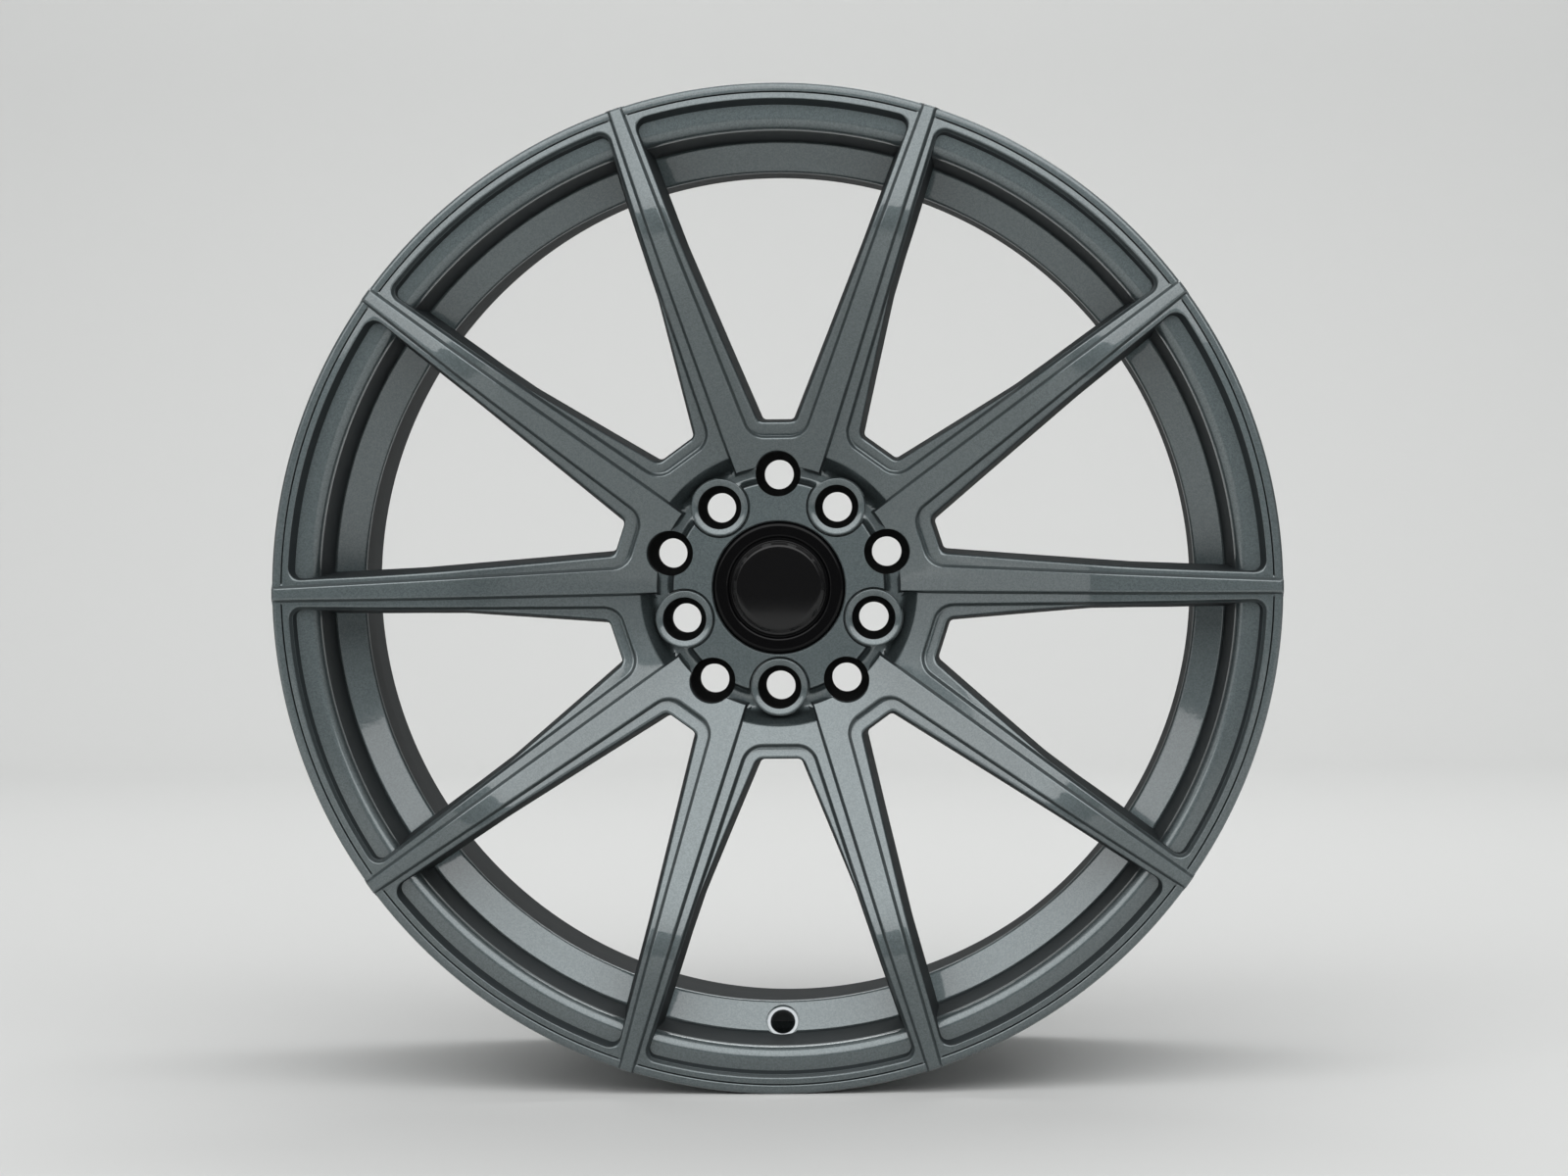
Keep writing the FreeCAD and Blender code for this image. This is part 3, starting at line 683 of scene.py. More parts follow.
    def plugs(self, profile: list[Triple], circle: float, first: float, name: str) -> Object:
        """Five turned plugs on a bolt circle.

        Args:
            profile: the plug's section, from its front centre to its back centre.
            circle: radius of the bolt circle.
            first: angle of the first plug.
            name: the object's name.

        Returns:
            One object with the five closed plugs.
        """
        plug = revolved(rounded_profile(profile), self.hole_segments, self.hole_phase) + np.array((circle, 0.0, 0.0))
        five = Patchwork()
        for pair in range(SPOKE_PAIRS):
            five.add_grid(turned(plug, first + pair * PAIR_PITCH), round_v=True)
        return five.piece(name)

    def bolt_section(self, mouth: float, ring: float, pocket: float) -> list[Triple]:
        """Section of a bolt's plug: sloping ring, pocket, sixty degree cone seat and hole.

        Args:
            mouth: depth at which the ring starts.
            ring: how much wider than the pocket the ring is, 0 where there is none.
            pocket: the pocket's radius.

        Returns:
            The section from the front centre to the back centre.
        """
        cone = (pocket - self.bolt_hole) / math.tan(math.radians(self.seat_half_angle))
        return [
            (0.0, mouth - self.ring_drop, 0.0), (pocket + 2 * ring, mouth - self.ring_drop, 0.0),
            (pocket, mouth + self.ring_drop, self.ring_round if ring else 0.0),
            (pocket, self.bolt_seat - cone, 0.0), (self.bolt_hole, self.bolt_seat, 0.0),
            (self.bolt_hole, self.plug_back, 0.0), (0.0, self.plug_back, 0.0),
        ]

    def hub(self) -> Object:
        """Builds the hub with its bolt pockets and ringed bosses.

        Returns:
            One mesh, open where the spokes are sewn on.
        """
        hub = round_piece("hub", revolved(self.hub_profile(), int(360.0 / self.hub_step)), round_u=True)
        groove = [(0.0, self.plug_front, 0.0), (self.groove_radius, self.plug_front, 0.0),
                  (self.groove_radius, self.groove_floor, self.groove_round), (0.0, self.groove_floor, 0.0)]
        boss = [(0.0, self.boss_top, 0.0), (self.boss_radius, self.boss_top, self.boss_round),
                (self.boss_radius, self.boss_foot, 0.0), (0.0, self.boss_foot, 0.0)]
        ringed = self.bolt_section(self.boss_top, self.ring_width, self.ringed_pocket)
        plain = self.bolt_section(self.plain_front, 0.0, PLAIN_POCKET)
        narrow, wide = (self.narrow_circle, FAR_ANGLE), (WIDE_CIRCLE, NEAR_ANGLE)
        carve(hub, self.plugs(groove, *narrow, "boss_grooves"), Carving.CUT)
        carve(hub, self.plugs(boss, *narrow, "bosses"), Carving.JOIN)
        carve(hub, self.plugs(ringed, *narrow, "ringed_holes"), Carving.CUT)
        carve(hub, self.plugs(plain, *wide, "plain_holes"), Carving.CUT)
        self.open_rim(hub)
        return hub

    def open_rim(self, hub: Object) -> None:
        """Takes off the wall that closed the hub while its holes were cut.

        Args:
            hub: the object whose mesh is opened.
        """
        build = bmesh.new()
        build.from_mesh(hub.data)
        middles = face_middles(hub)
        radius = np.hypot(middles[:, 0], middles[:, 2])
        first, last = float(self.levels.base(self.hub_join)), float(self.levels.back(self.back_join))
        share = (middles[:, 1] + MOUNT_DEPTH - first) / (last - first)
        wall_radius = self.hub_join + (self.back_join - self.hub_join) * share
        inside = (share > self.join_span[0]) & (share < self.join_span[1])
        on_wall = (np.abs(radius - wall_radius) < self.join_slack) & inside
        wall = [face for face, there in zip(build.faces, on_wall) if there]
        bmesh.ops.delete(build, geom=wall, context="FACES")
        build.to_mesh(hub.data)
        build.free()

    def build(self) -> Object:
        """Builds the whole disc.

        Returns:
            One closed mesh.
        """
        disc, hub = self.spokes(), self.hub()
        close_mesh(disc.data, hub.data)
        discard(hub)
        return smooth(disc)

    def in_pockets(self, middles: Grid) -> Mask:
        """Tells which faces lie inside a bolt pocket: ahead of the mounting face and within the pocket's radius.

        Args:
            middles: the middle of each face, in millimetres.

        Returns:
            True for each face inside a pocket.
        """
        inside = np.zeros(len(middles), dtype=bool)
        wide = (WIDE_CIRCLE, PLAIN_POCKET, NEAR_ANGLE)
        narrow = (self.narrow_circle, self.ringed_pocket, FAR_ANGLE)
        for circle, radius, first in (wide, narrow):
            centres = on_circle(circle, first + PAIR_PITCH * np.arange(SPOKE_PAIRS))
            away = np.linalg.norm(middles[:, None, ::2] - centres[None], axis=-1).min(axis=1)
            inside |= (away < radius + self.pocket_slack / 2) & (middles[:, 1] < -self.pocket_slack)
        return inside


@dataclass
class RibPairs:
    """The raised ribs: five V shapes, each joined round the hub end of a near window."""

    levels: FaceLevels = field(default_factory=FaceLevels)
    inner: WindowOutline = WindowOutline(8.9, 2.9, 74.8, 11.0, rim_radius=260.3)
    far_hub: float = 2.3
    far_rim: float = 3.2
    pocket_inset: float = -0.3
    pocket_steps: int = 14
    hub_steps: int = 9
    hub_rise: float = 3.0
    hub_run: float = 8.0
    hub_lean: float = 0.5
    hub_cove: float = 3.6
    far_lean: float = 1.3
    near_lean: float = 1.3
    side_cove: float = 0.4
    flange: float = 0.6
    flange_drop: float = 0.35
    hair: float = 0.02
    level_run: tuple[float, float] = (95.0, 125.0)
    top_shares: tuple[float, float] = (0.33, 0.67)
    least_height: float = 0.6
    edge_round: float = 1.0
    tip_round: float = 2.0
    tip_steps: int = 9
    root: float = 1.5
    tip_root: float = 3.0
    tip_run: tuple[float, float] = (240.0, 244.0)

    def far_line(self) -> Grid:
        """Plan points of a V's outer edge along the spoke, from the hub to the round tip.

        Returns:
            The points.
        """
        slope = (self.far_rim - self.far_hub) / (RIM_STATION - HUB_STATION)
        hub = self.levels.hub_radius
        start = math.sqrt(hub**2 - (self.far_hub + slope * (hub - HUB_STATION)) ** 2)
        end = math.sqrt(RIM_RADIUS**2 - (self.far_hub + slope * (RIM_RADIUS - HUB_STATION)) ** 2)
        runs = (start, 90.0, 2.5), (90.0, 150.0, 6.0), (150.0, 206.0, 3.5), (206.0, 243.0, 5.0)
        tip = end - self.tip_round * (1.0 - np.sin(np.linspace(0.0, math.pi / 2, self.tip_steps)))
        along = np.concatenate((stretches(runs), tip))
        return spoke_edge(along, -self.far_hub - slope * (along - HUB_STATION))

    def far_path(self) -> tuple[Grid, Grid, Grid, Grid]:
        """Plan path of a V's outer edge: round the bolt pocket, along the hub channel and out along the spoke.

        Returns:
            The points, and at each how far the wall leans out, the cove at its foot and the flange beyond the cove.
        """
        hub = self.levels.hub_radius
        swing = (hub**2 + WIDE_CIRCLE**2 - PLAIN_POCKET**2) / (2 * hub * WIDE_CIRCLE)
        meet = on_circle(hub, np.degrees(np.arccos(swing)))
        last = math.degrees(math.atan2(meet[1], meet[0] - WIDE_CIRCLE))
        circle = on_circle(PLAIN_POCKET, np.linspace(0.0, last, self.pocket_steps)) + np.array((WIDE_CIRCLE, 0.0))
        line = self.far_line()
        turn = math.degrees(math.atan2(line[0, 1], line[0, 0]))
        arc = on_circle(hub, np.linspace(math.degrees(math.acos(swing)), turn, self.hub_steps)[1:-1])
        leaving = smooth_step(radius_of(line), hub, hub + self.hub_run)
        rise = smooth_step(np.arange(1.0, len(arc) + 1), 0.0, self.hub_rise)
        still = np.zeros(len(circle))
        lean = np.concatenate((still + self.pocket_inset,
                               self.pocket_inset + (self.hub_lean - self.pocket_inset) * rise,
                               self.hub_lean + (self.far_lean - self.hub_lean) * leaving))
        cove = np.concatenate((still + self.hair, self.hub_cove * rise,
                               self.hub_cove + (self.side_cove - self.hub_cove) * leaving))
        flange = np.concatenate((still + self.hair, self.flange * rise, np.full(len(line), self.flange)))
        return np.concatenate((circle, arc, line)), lean, cove, flange

    def near_path(self, far: Grid) -> Grid:
        """Points of the V's inner edge that face the outer edge, at the same radii along the spoke.

        Args:
            far: the outer edge.

        Returns:
            The inner edge's points.
        """
        near, _, _ = self.inner.nearest(far)
        _, side = self.inner.side()
        radius = radius_of(far)
        slide = (radius**2 - (near**2).sum(-1)) / (2 * (near @ side))
        slide = slide * smooth_step(radius, *self.level_run)
        return near + side * slide[:, None]

    def rails(self) -> Grid:
        """Rails of half a V, from its outer root over the top to its inner root.

        Returns:
            The rails, by row and place along the path.
        """
        far, lean, cove, flange = self.far_path()
        near = self.near_path(far)
        outward = (far - near) / np.linalg.norm(far - near, axis=-1, keepdims=True)
        tip = np.clip(radius_of(far) - (RIM_RADIUS - self.tip_round), 0.0, self.tip_round)
        drop = self.tip_round - np.sqrt(np.maximum(self.tip_round**2 - tip**2, 0.0))
        plans = [far, *(between(far, near, share) for share in self.top_shares), near]
        tops = [at_depth(plan, self.levels.top(radius_of(plan)) + drop) for plan in plans]
        even = np.ones(len(far))
        near_lean, near_spread = even * self.near_lean, even * (self.side_cove + self.flange)
        far_foot = self.foot(far, outward, tops[0][:, 2], lean, cove + flange)
        near_foot = self.foot(near, -outward, tops[-1][:, 2], near_lean, near_spread)
        far_radii = [0.0, 0.0, cove[:, None], self.edge_round, 0.0]
        near_radii = [0.0, self.edge_round, self.side_cove, 0.0, 0.0]
        return rounded([*far_foot, *tops, *near_foot[::-1]], far_radii + near_radii)

    def foot(self, edge: Grid, outward: Grid, top: Grid, lean: Grid, spread: Grid) -> list[Grid]:
        """Rails below a top edge: sunk root, flange that dips under the shelf, and the corner of the cove.

        Args:
            edge: plan points of the top edge.
            outward: directions away from the rib.
            top: depths of the edge.
            lean: how far the wall leans out on its way down.
            spread: width of cove and flange.

        Returns:
            The three rails, from the root up.
        """
        plans = [edge + outward * reach[:, None] for reach in (lean, lean + spread)]
        corner, brim = (plan * np.minimum(1.0, RIM_RADIUS / radius_of(plan))[:, None] for plan in plans)
        floor = np.maximum(self.levels.floor(radius_of(corner)), top + self.least_height)
        low = np.maximum(self.levels.floor(radius_of(brim)), top + self.least_height) + self.flange_drop
        sunk = low + self.root + self.tip_root * smooth_step(radius_of(brim), *self.tip_run)
        return [at_depth(brim, sunk), at_depth(brim, low), at_depth(corner, floor)]

    def build(self) -> Object:
        """Builds the five V shapes as closed tubes.

        Returns:
            One mesh.
        """
        rails = self.rails()
        shapes = Patchwork()
        rows, columns = rails.shape[:2]
        for pair in range(SPOKE_PAIRS):
            for mirrored in (False, True):
                first = shapes.add_grid(turned(rails, NEAR_ANGLE + pair * PAIR_PITCH, mirrored), round_u=True)
                shapes.add_face(first + np.arange(rows) * columns + columns - 1)
        return smooth(shapes.piece("spoke_ribs"))


@dataclass
class RimBarrel:
    """The rim: front lip, flanges, bead seats, humps, drop centre, barrel and valve hole."""

    segments: int = 360
    round_steps: int = 5
    lip_round: float = 3.0
    valve_radius: float = 5.75
    valve_face: float = 8.5
    valve_face_depth: float = 0.8
    valve_face_reach: float = 9.2
    valve_chamfer: float = 0.5
    valve_ring: float = 7.65
    valve_groove: float = 0.9
    valve_end: float = 15.0
    valve_place: tuple[float, float] = (219.03, 56.19)
    valve_way: tuple[float, float] = (0.3672, 0.9302)
    valve_segments: int = 64
    ring_slack: tuple[float, float] = (0.02, 0.05)

    def profile(self) -> Grid:
        """Section of the rim, from the outer edge of the lip inwards, back along the barrel and round the outside.

        Returns:
            Its radii and depths.
        """
        corners = [
            (RIM_RADIUS, 9.0, 0.0), (RIM_RADIUS, 0.0, self.lip_round), (243.9, 0.0, 0.8),
            (243.6, 1.2, 0.3), (243.0, 8.8, 0.0), (226.0, 8.8, 6.0), (224.2, 54.15, 2.0),
            (209.0, 60.15, 2.5), (209.0, 93.7, 8.0), (221.7, 120.7, 10.0), (221.7, 227.95, 8.0),
            (235.7, 240.0, 1.0), (246.1, 240.0, 1.0), (RIM_RADIUS, 237.8, 1.0),
            (RIM_RADIUS, 231.0, 1.0), (243.8, 227.95, 1.5), (231.0, 227.95, 6.0), (229.2, 206.95, 2.0),
            (230.4, 199.95, 3.0), (226.7, 192.95, 3.0), (226.7, 119.55, 10.0), (214.0, 92.55, 8.0),
            (214.0, 63.55, 4.0), (229.2, 57.55, 3.0), (229.2, 47.05, 3.0), (230.4, 40.05, 3.0),
            (229.2, 33.05, 2.0), (231.0, 12.05, 6.0), (243.8, 12.05, 1.5), (RIM_RADIUS, 9.0, 0.0),
        ]
        return rounded_profile(corners, self.round_steps)[:-1]

    def valve_cutter(self) -> Object:
        """Plug of the valve hole and its spot face, square to the ramp, at the bottom of the rim.

        The spot face is a raised ring round the hole, inside a narrow groove.

        Returns:
            The plug, turned to the valve's way.
        """
        mouth, floor = -self.valve_face_reach, self.valve_face_depth
        groove = floor + self.valve_groove
        section = [
            (0.0, mouth, 0.0), (self.valve_face, mouth, 0.0), (self.valve_face, groove, 0.0),
            (self.valve_ring, groove, 0.0), (self.valve_ring, floor, 0.0),
            (self.valve_radius + self.valve_chamfer, floor, 0.0),
            (self.valve_radius, floor + self.valve_chamfer, 0.0),
            (self.valve_radius, self.valve_end, 0.0), (0.0, self.valve_end, 0.0),
        ]
        plug = revolved(rounded_profile(section), self.valve_segments)
        outward = np.array((0.0, -self.valve_way[0], self.valve_way[1]))
        across = np.array((1.0, 0.0, 0.0))
        centre = np.array((0.0, -self.valve_place[0], self.valve_place[1]))
        axes = np.stack((across, np.cross(outward, across), outward))
        return round_piece("valve_cutter", centre + plug @ axes)

    def on_valve_ring(self, middles: Grid) -> Mask:
        """Tells which faces are the bare ring round the valve hole, by their way from its axis and along it.

        Args:
            middles: the middle of each face, in millimetres.

        Returns:
            True for each face of the ring.
        """
        centre = np.array((0.0, self.valve_place[1] - MOUNT_DEPTH, -self.valve_place[0]))
        way = np.array((0.0, self.valve_way[1], -self.valve_way[0]))
        along = (middles - centre) @ way - self.valve_face_depth
        away = np.linalg.norm(np.cross(middles - centre, way), axis=-1)
        level = np.abs(along - self.valve_chamfer / 2) < self.valve_chamfer / 2 + self.ring_slack[0]
        return level & (away > self.valve_radius + self.ring_slack[1]) & (away < self.valve_ring - self.ring_slack[1])

    def build(self) -> Object:
        """Builds the rim and cuts its valve hole.

        Returns:
            One closed mesh.
        """
        rim = round_piece("rim_barrel", revolved(self.profile(), self.segments), round_u=True)
        carve(rim, self.valve_cutter(), Carving.CUT)
        return smooth(rim)


@dataclass
class CentreCap:
    """The snap-in cap: a moulded body with legs, a bare domed badge and the sprung wire inside the legs."""

    segments: int = 192
    round_steps: int = 5
    rim: float = 33.3
    front: float = 49.6
    dish: float = 50.6
    seat: float = 53.0
    inside: float = 53.1
    leg_outer: float = 29.3
    leg_inner: float = 27.1
    hook: float = 61.3
    hook_length: float = 3.0
    hook_reach: float = 1.0
    leg_count: int = 8
    leg_gap: float = 7.0
    gap_over: float = 2.0
    gap_start: float = 53.02
    badge_radius: float = 23.8
    badge_edge: float = 49.0
    badge_step: float = 0.35
    dome_radius: float = 20.4
    dome_front: float = 47.15
    dome_rise: float = 0.45
    dome_steps: int = 14
    wire_radius: float = 0.8
    wire_ring: float = 26.7
    wire_sides: int = 16

    def body_section(self) -> list[Triple]:
        """Section of the body, from the dish's centre out over the rim and back along the legs.

        Returns:
            Its corners.
        """
        hook_end = self.hook + self.hook_length
        return [
            (0.0, self.dish, 0.0), (24.9, self.dish, 0.4), (26.4, self.front + 0.1, 0.8),
            (31.6, self.front, 2.0), (self.rim, 51.2, 1.0), (self.rim, self.seat, 0.0),
            (self.leg_outer, self.seat, 0.0), (self.leg_outer, self.hook, 0.0),
            (self.leg_outer + self.hook_reach, self.hook + self.hook_reach / 2, 0.2),
            (self.leg_outer, hook_end, 0.4), (self.leg_inner, hook_end, 0.2),
            (self.leg_inner, self.inside, 0.5), (0.0, self.inside, 0.0),
        ]

    def gap_cutter(self) -> Object:
        """Blocks between the legs, each a ring of four corners carried back along the axle.

        Returns:
            One object with all the blocks.
        """
        low, high, half = self.leg_inner - self.gap_over, self.rim + self.gap_over, self.leg_gap / 2
        corners = np.array(((low, -half), (high, -half), (high, half), (low, half)))
        depths = self.gap_start, self.hook + self.hook_length + self.gap_over
        block = np.stack([at_depth(corners, np.full(len(corners), depth)) for depth in depths])
        blocks = Patchwork()
        for leg in range(self.leg_count):
            first = blocks.add_grid(turned(block, leg * 360.0 / self.leg_count), round_v=True)
            for end in range(len(depths)):
                blocks.add_face(first + np.arange(len(corners)) + end * len(corners))
        return blocks.piece("leg_gaps")

    def body(self) -> Object:
        """Builds the moulded body with its ring of hooked legs.

        Returns:
            One closed mesh.
        """
        section = rounded_profile(self.body_section(), self.round_steps)
        body = round_piece("cap_moulding", revolved(section, self.segments))
        carve(body, self.gap_cutter(), Carving.CUT)
        return smooth(body)

    def badge(self) -> Object:
        """Builds the bare badge: a disc with a bead round its edge and a broad bevel up to a slightly domed front.

        Returns:
            One closed mesh.
        """
        dome = np.linspace(0.0, self.dome_radius, self.dome_steps)
        front = np.stack((dome, self.dome_front + self.dome_rise * (dome / self.dome_radius) ** 2), axis=-1)
        bead = self.badge_edge - self.badge_step
        rest = rounded_profile([
            (self.dome_radius, self.dome_front + self.dome_rise, 0.0), (21.3, 47.75, 0.8),
            (22.9, self.badge_edge, 0.5), (23.2, bead, 0.2), (self.badge_radius, bead, 0.3),
            (self.badge_radius, self.dish, 0.0), (0.0, self.dish, 0.0),
        ])
        return smooth(round_piece("cap_dome", revolved(np.concatenate((front, rest[1:])), self.segments)))

    def wire(self) -> Object:
        """Builds the sprung ring: a circle of wire carried round the axle.

        Returns:
            One closed mesh.
        """
        angle = np.linspace(0.0, 2 * math.pi, self.wire_sides, endpoint=False)
        section = np.stack((self.wire_ring + self.wire_radius * np.cos(angle),
                            self.hook + self.wire_radius * np.sin(angle)), axis=-1)
        return smooth(round_piece("cap_wire", revolved(section, self.segments), round_u=True))


def linear(colour: str) -> tuple[float, float, float, float]:
    """Turns an sRGB hex value into linear light.

    Args:
        colour: a value such as #5a605e.

    Returns:
        Red, green, blue and full alpha.
    """
    parts = np.array([int(colour[start:start + 2], 16) for start in (1, 3, 5)]) / 255.0
    parts = np.where(parts <= 0.04045, parts / 12.92, ((parts + 0.055) / 1.055) ** 2.4)
    return (*(float(part) for part in parts), 1.0)


def add_node(tree: NodeTree, kind: str, values: dict[str | int, Any] | None = None,
             links: dict[str | int, NodeSocket] | None = None, **settings: Any) -> Node:
    """Adds a node with its settings, socket values and incoming links.

    Args:
        tree: the node tree.
        kind: the shader node's type.
        values: values of input sockets, by name or number.
        links: sockets that feed input sockets, by name or number.
        settings: properties of the node itself.

    Returns:
        The node.
    """
    node = tree.nodes.new("ShaderNode" + kind)
    for name, setting in settings.items():
        setattr(node, name, setting)
    for name, value in (values or {}).items():
        node.inputs[name].default_value = value
    for name, socket in (links or {}).items():
        tree.links.new(socket, node.inputs[name])
    return node


def new_material(name: str) -> tuple[Material, NodeTree]:
    """Makes an empty node material.

    Args:
        name: the material's name.

    Returns:
        The material and its tree.
    """
    material = bpy.data.materials.new(name)
    material.use_nodes = True
    material.node_tree.nodes.clear()
    return material, material.node_tree


def per_metre(millimetres: float) -> float:
    """Texture scale at which one cell of a pattern is that many millimetres wide."""
    return 1.0 / (millimetres * MM)


@dataclass(frozen=True)
class Relief:
    """Soft bumps of a finish: their width in millimetres, their finer detail, their strength and height in metres."""

    width: float
    detail: float
    strength: float
    height: float

    def normal(self, tree: NodeTree, place: NodeSocket) -> NodeSocket:
        """Adds the bumps to a material.

        Args:
            tree: the material's tree.
            place: the socket that gives the place on the piece.

        Returns:
            The socket that gives the bent normal.
        """
        noise = add_node(tree, "TexNoise", {"Scale": per_metre(self.width), "Detail": self.detail},
                         {"Vector": place})
        bump = add_node(tree, "Bump", {"Strength": self.strength, "Distance": self.height},
                        {"Height": noise.outputs["Fac"]})
        return bump.outputs["Normal"]


@dataclass(frozen=True)
class MetallicPaint:
    """Graphite metallic paint under a gloss clear coat: grey flakes at depth, sharp reflections on top."""

    name: str = "graphite_metallic_paint"
    dark: str = "#4e585a"
    light: str = "#5e686a"
    # Painted shade: the dark colour that sideways walls and the barrel's inside take, on top of their duller mist
    dry_mist_and_shade: str = "#262b2d"
    metallic: float = 0.8
    roughness: tuple[float, float] = (0.34, 0.42)
    dry_roughness: float = 0.7
    shine: tuple[float, float] = (0.15, 0.5)
    coat_ior: float = 1.65
    coat_roughness: float = 0.05
    reach: tuple[float, float] = (0.2, 0.55)
    outside: float = 0.0
    flake: float = 0.6
    flake_bump: tuple[float, float] = (0.05, 0.0002)
    haze: float = 45.0
    haze_detail: float = 3.0
    peel: Relief = Relief(3.0, 1.0, 0.05, 0.0002)

    def material(self) -> Material:
        """Flakes are cells of the real paint drawn coarse enough to show, with a faint orange peel over them.

        The wheel takes its spray from the front and the back, so walls that look sideways get only a thin mist: dull
        and without clear coat. Their dark colour is painted shade, for the shade on the window walls and inside the
        barrel. How far a face looks along the axle, in the piece's own frame, blends the two. On the rim, how far it
        looks away from the axle counts as well.

        Returns:
            The finish.
        """
        material, tree = new_material(self.name)
        spot = add_node(tree, "TexCoord")
        place, normal = spot.outputs["Object"], spot.outputs["Normal"]
        facing = add_node(tree, "SeparateXYZ", links={"Vector": normal})
        along = add_node(tree, "Math", links={0: facing.outputs["Y"]}, operation="ABSOLUTE")
        spread = add_node(tree, "VectorMath", {1: (self.outside, 0.0, self.outside)}, {0: place},
                          operation="MULTIPLY")
        spread = add_node(tree, "VectorMath", links={0: spread.outputs["Vector"]}, operation="NORMALIZE")
        outward = add_node(tree, "VectorMath", links={0: spread.outputs["Vector"], 1: normal},
                           operation="DOT_PRODUCT")
        facing_spray_and_light = add_node(tree, "Math", links={0: along.outputs["Value"], 1: outward.outputs["Value"]},
                           operation="MAXIMUM")
        wet_and_unshaded = add_node(tree, "MapRange", {"From Min": self.reach[0], "From Max": self.reach[1]},
                       {"Value": facing_spray_and_light.outputs["Value"]}, interpolation_type="SMOOTHSTEP").outputs["Result"]

        cells = add_node(tree, "TexVoronoi", {"Scale": per_metre(self.flake)}, {"Vector": place})
        tone = add_node(tree, "SeparateColor", links={"Color": cells.outputs["Color"]})
        flakes = add_node(tree, "Mix", {FIRST_TONE: linear(self.dark), SECOND_TONE: linear(self.light)},
                          {"Factor": tone.outputs["Red"]}, data_type="RGBA")
        # Painted shade: faces that look sideways blend from the flakes towards the dark colour
        paint = add_node(tree, "Mix", {FIRST_TONE: linear(self.dry_mist_and_shade)},
                         {"Factor": wet_and_unshaded, SECOND_TONE: flakes.outputs[MIXED_TONE]}, data_type="RGBA")
        haze = add_node(tree, "TexNoise", {"Scale": per_metre(self.haze), "Detail": self.haze_detail},
                        {"Vector": place})
        gloss = add_node(tree, "MapRange", {"To Min": self.roughness[0], "To Max": self.roughness[1]},
                         {"Value": haze.outputs["Fac"]})
        rough = add_node(tree, "MapRange", {"To Min": self.dry_roughness},
                         {"Value": wet_and_unshaded, "To Max": gloss.outputs["Result"]})
        metal = add_node(tree, "MapRange", {"To Max": self.metallic}, {"Value": wet_and_unshaded})
        shine = add_node(tree, "MapRange", {"To Min": self.shine[0], "To Max": self.shine[1]},
                         {"Value": wet_and_unshaded})
        skin = self.peel.normal(tree, place)
        sparkle = add_node(tree, "Bump", {"Strength": self.flake_bump[0], "Distance": self.flake_bump[1]},
                           {"Height": tone.outputs["Green"], "Normal": skin})
        shader = add_node(tree, "BsdfPrincipled",
                          {"Coat Roughness": self.coat_roughness, "Coat IOR": self.coat_ior},
                          {"Base Color": paint.outputs[MIXED_TONE], "Roughness": rough.outputs["Result"],
                           "Metallic": metal.outputs["Result"], "Coat Weight": wet_and_unshaded,
                           "Specular IOR Level": shine.outputs["Result"],
                           "Normal": sparkle.outputs["Normal"], "Coat Normal": skin})
        add_node(tree, "OutputMaterial", links={"Surface": shader.outputs["BSDF"]})
        return material


@dataclass(frozen=True)
class MottledFinish:
    """A finish whose tone and gloss vary over a fine grain, drawn coarser than it is so that it shows."""

    name: str
    dark: str
    light: str
    roughness: tuple[float, float]
    grain: float
    relief: Relief | None = None
    inputs: tuple[tuple[str, float], ...] = ()
    detail: float = 2.0

    def material(self) -> Material:
        """Noise as wide as the grain blends the two tones and the two ends of the roughness, and relief bends light.

        Returns:
            The finish.
        """
        material, tree = new_material(self.name)
        place = add_node(tree, "TexCoord").outputs["Object"]
        grain = add_node(tree, "TexNoise", {"Scale": per_metre(self.grain), "Detail": self.detail},
                         {"Vector": place}).outputs["Fac"]
        tint = add_node(tree, "Mix", {FIRST_TONE: linear(self.dark), SECOND_TONE: linear(self.light)},
                        {"Factor": grain}, data_type="RGBA")
        rough = add_node(tree, "MapRange", {"To Min": self.roughness[0], "To Max": self.roughness[1]},
                         {"Value": grain})
        links = {"Base Color": tint.outputs[MIXED_TONE], "Roughness": rough.outputs["Result"]}
        if self.relief is not None:
            links["Normal"] = self.relief.normal(tree, place)
        shader = add_node(tree, "BsdfPrincipled", dict(self.inputs), links)
        add_node(tree, "OutputMaterial", links={"Surface": shader.outputs["BSDF"]})
        return material


# Painted shade: dead matt black inside the bolt pockets stands in for the shade in these deep wells
PAINTED_POCKET_SHADE = MottledFinish("painted_pocket_shade", "#070708", "#121314", (0.75, 0.9), 0.8, Relief(0.8, 2.0, 0.1, 0.0001),
                             (("IOR", 1.4), ("Specular IOR Level", 0.2)))
# Polished gloss black: deep black with clear reflections that faint waves bend, and a dust-fine haze
POLISHED_BLACK = MottledFinish("polished_gloss_black", "#030304", "#070708", (0.05, 0.09), 1.2,
                               Relief(9.0, 1.0, 0.03, 0.0003), (("IOR", 1.42), ("Specular IOR Level", 0.5)))
# Moulded gloss black: the same, but a duller mirror, so that the cap's ring looks blacker than its badge
MOULDED_BLACK = replace(POLISHED_BLACK, name="moulded_gloss_black",
                        inputs=(("IOR", 1.42), ("Specular IOR Level", 0.22)))
# Bare aluminium, grey-bright under fine turning marks, which makes the ring of the valve hole stand out
MACHINED_ALUMINIUM = MottledFinish("machined_aluminium", "#8b8f91", "#a0a4a6", (0.25, 0.4), 0.4,
                                   inputs=(("Metallic", 1.0),))
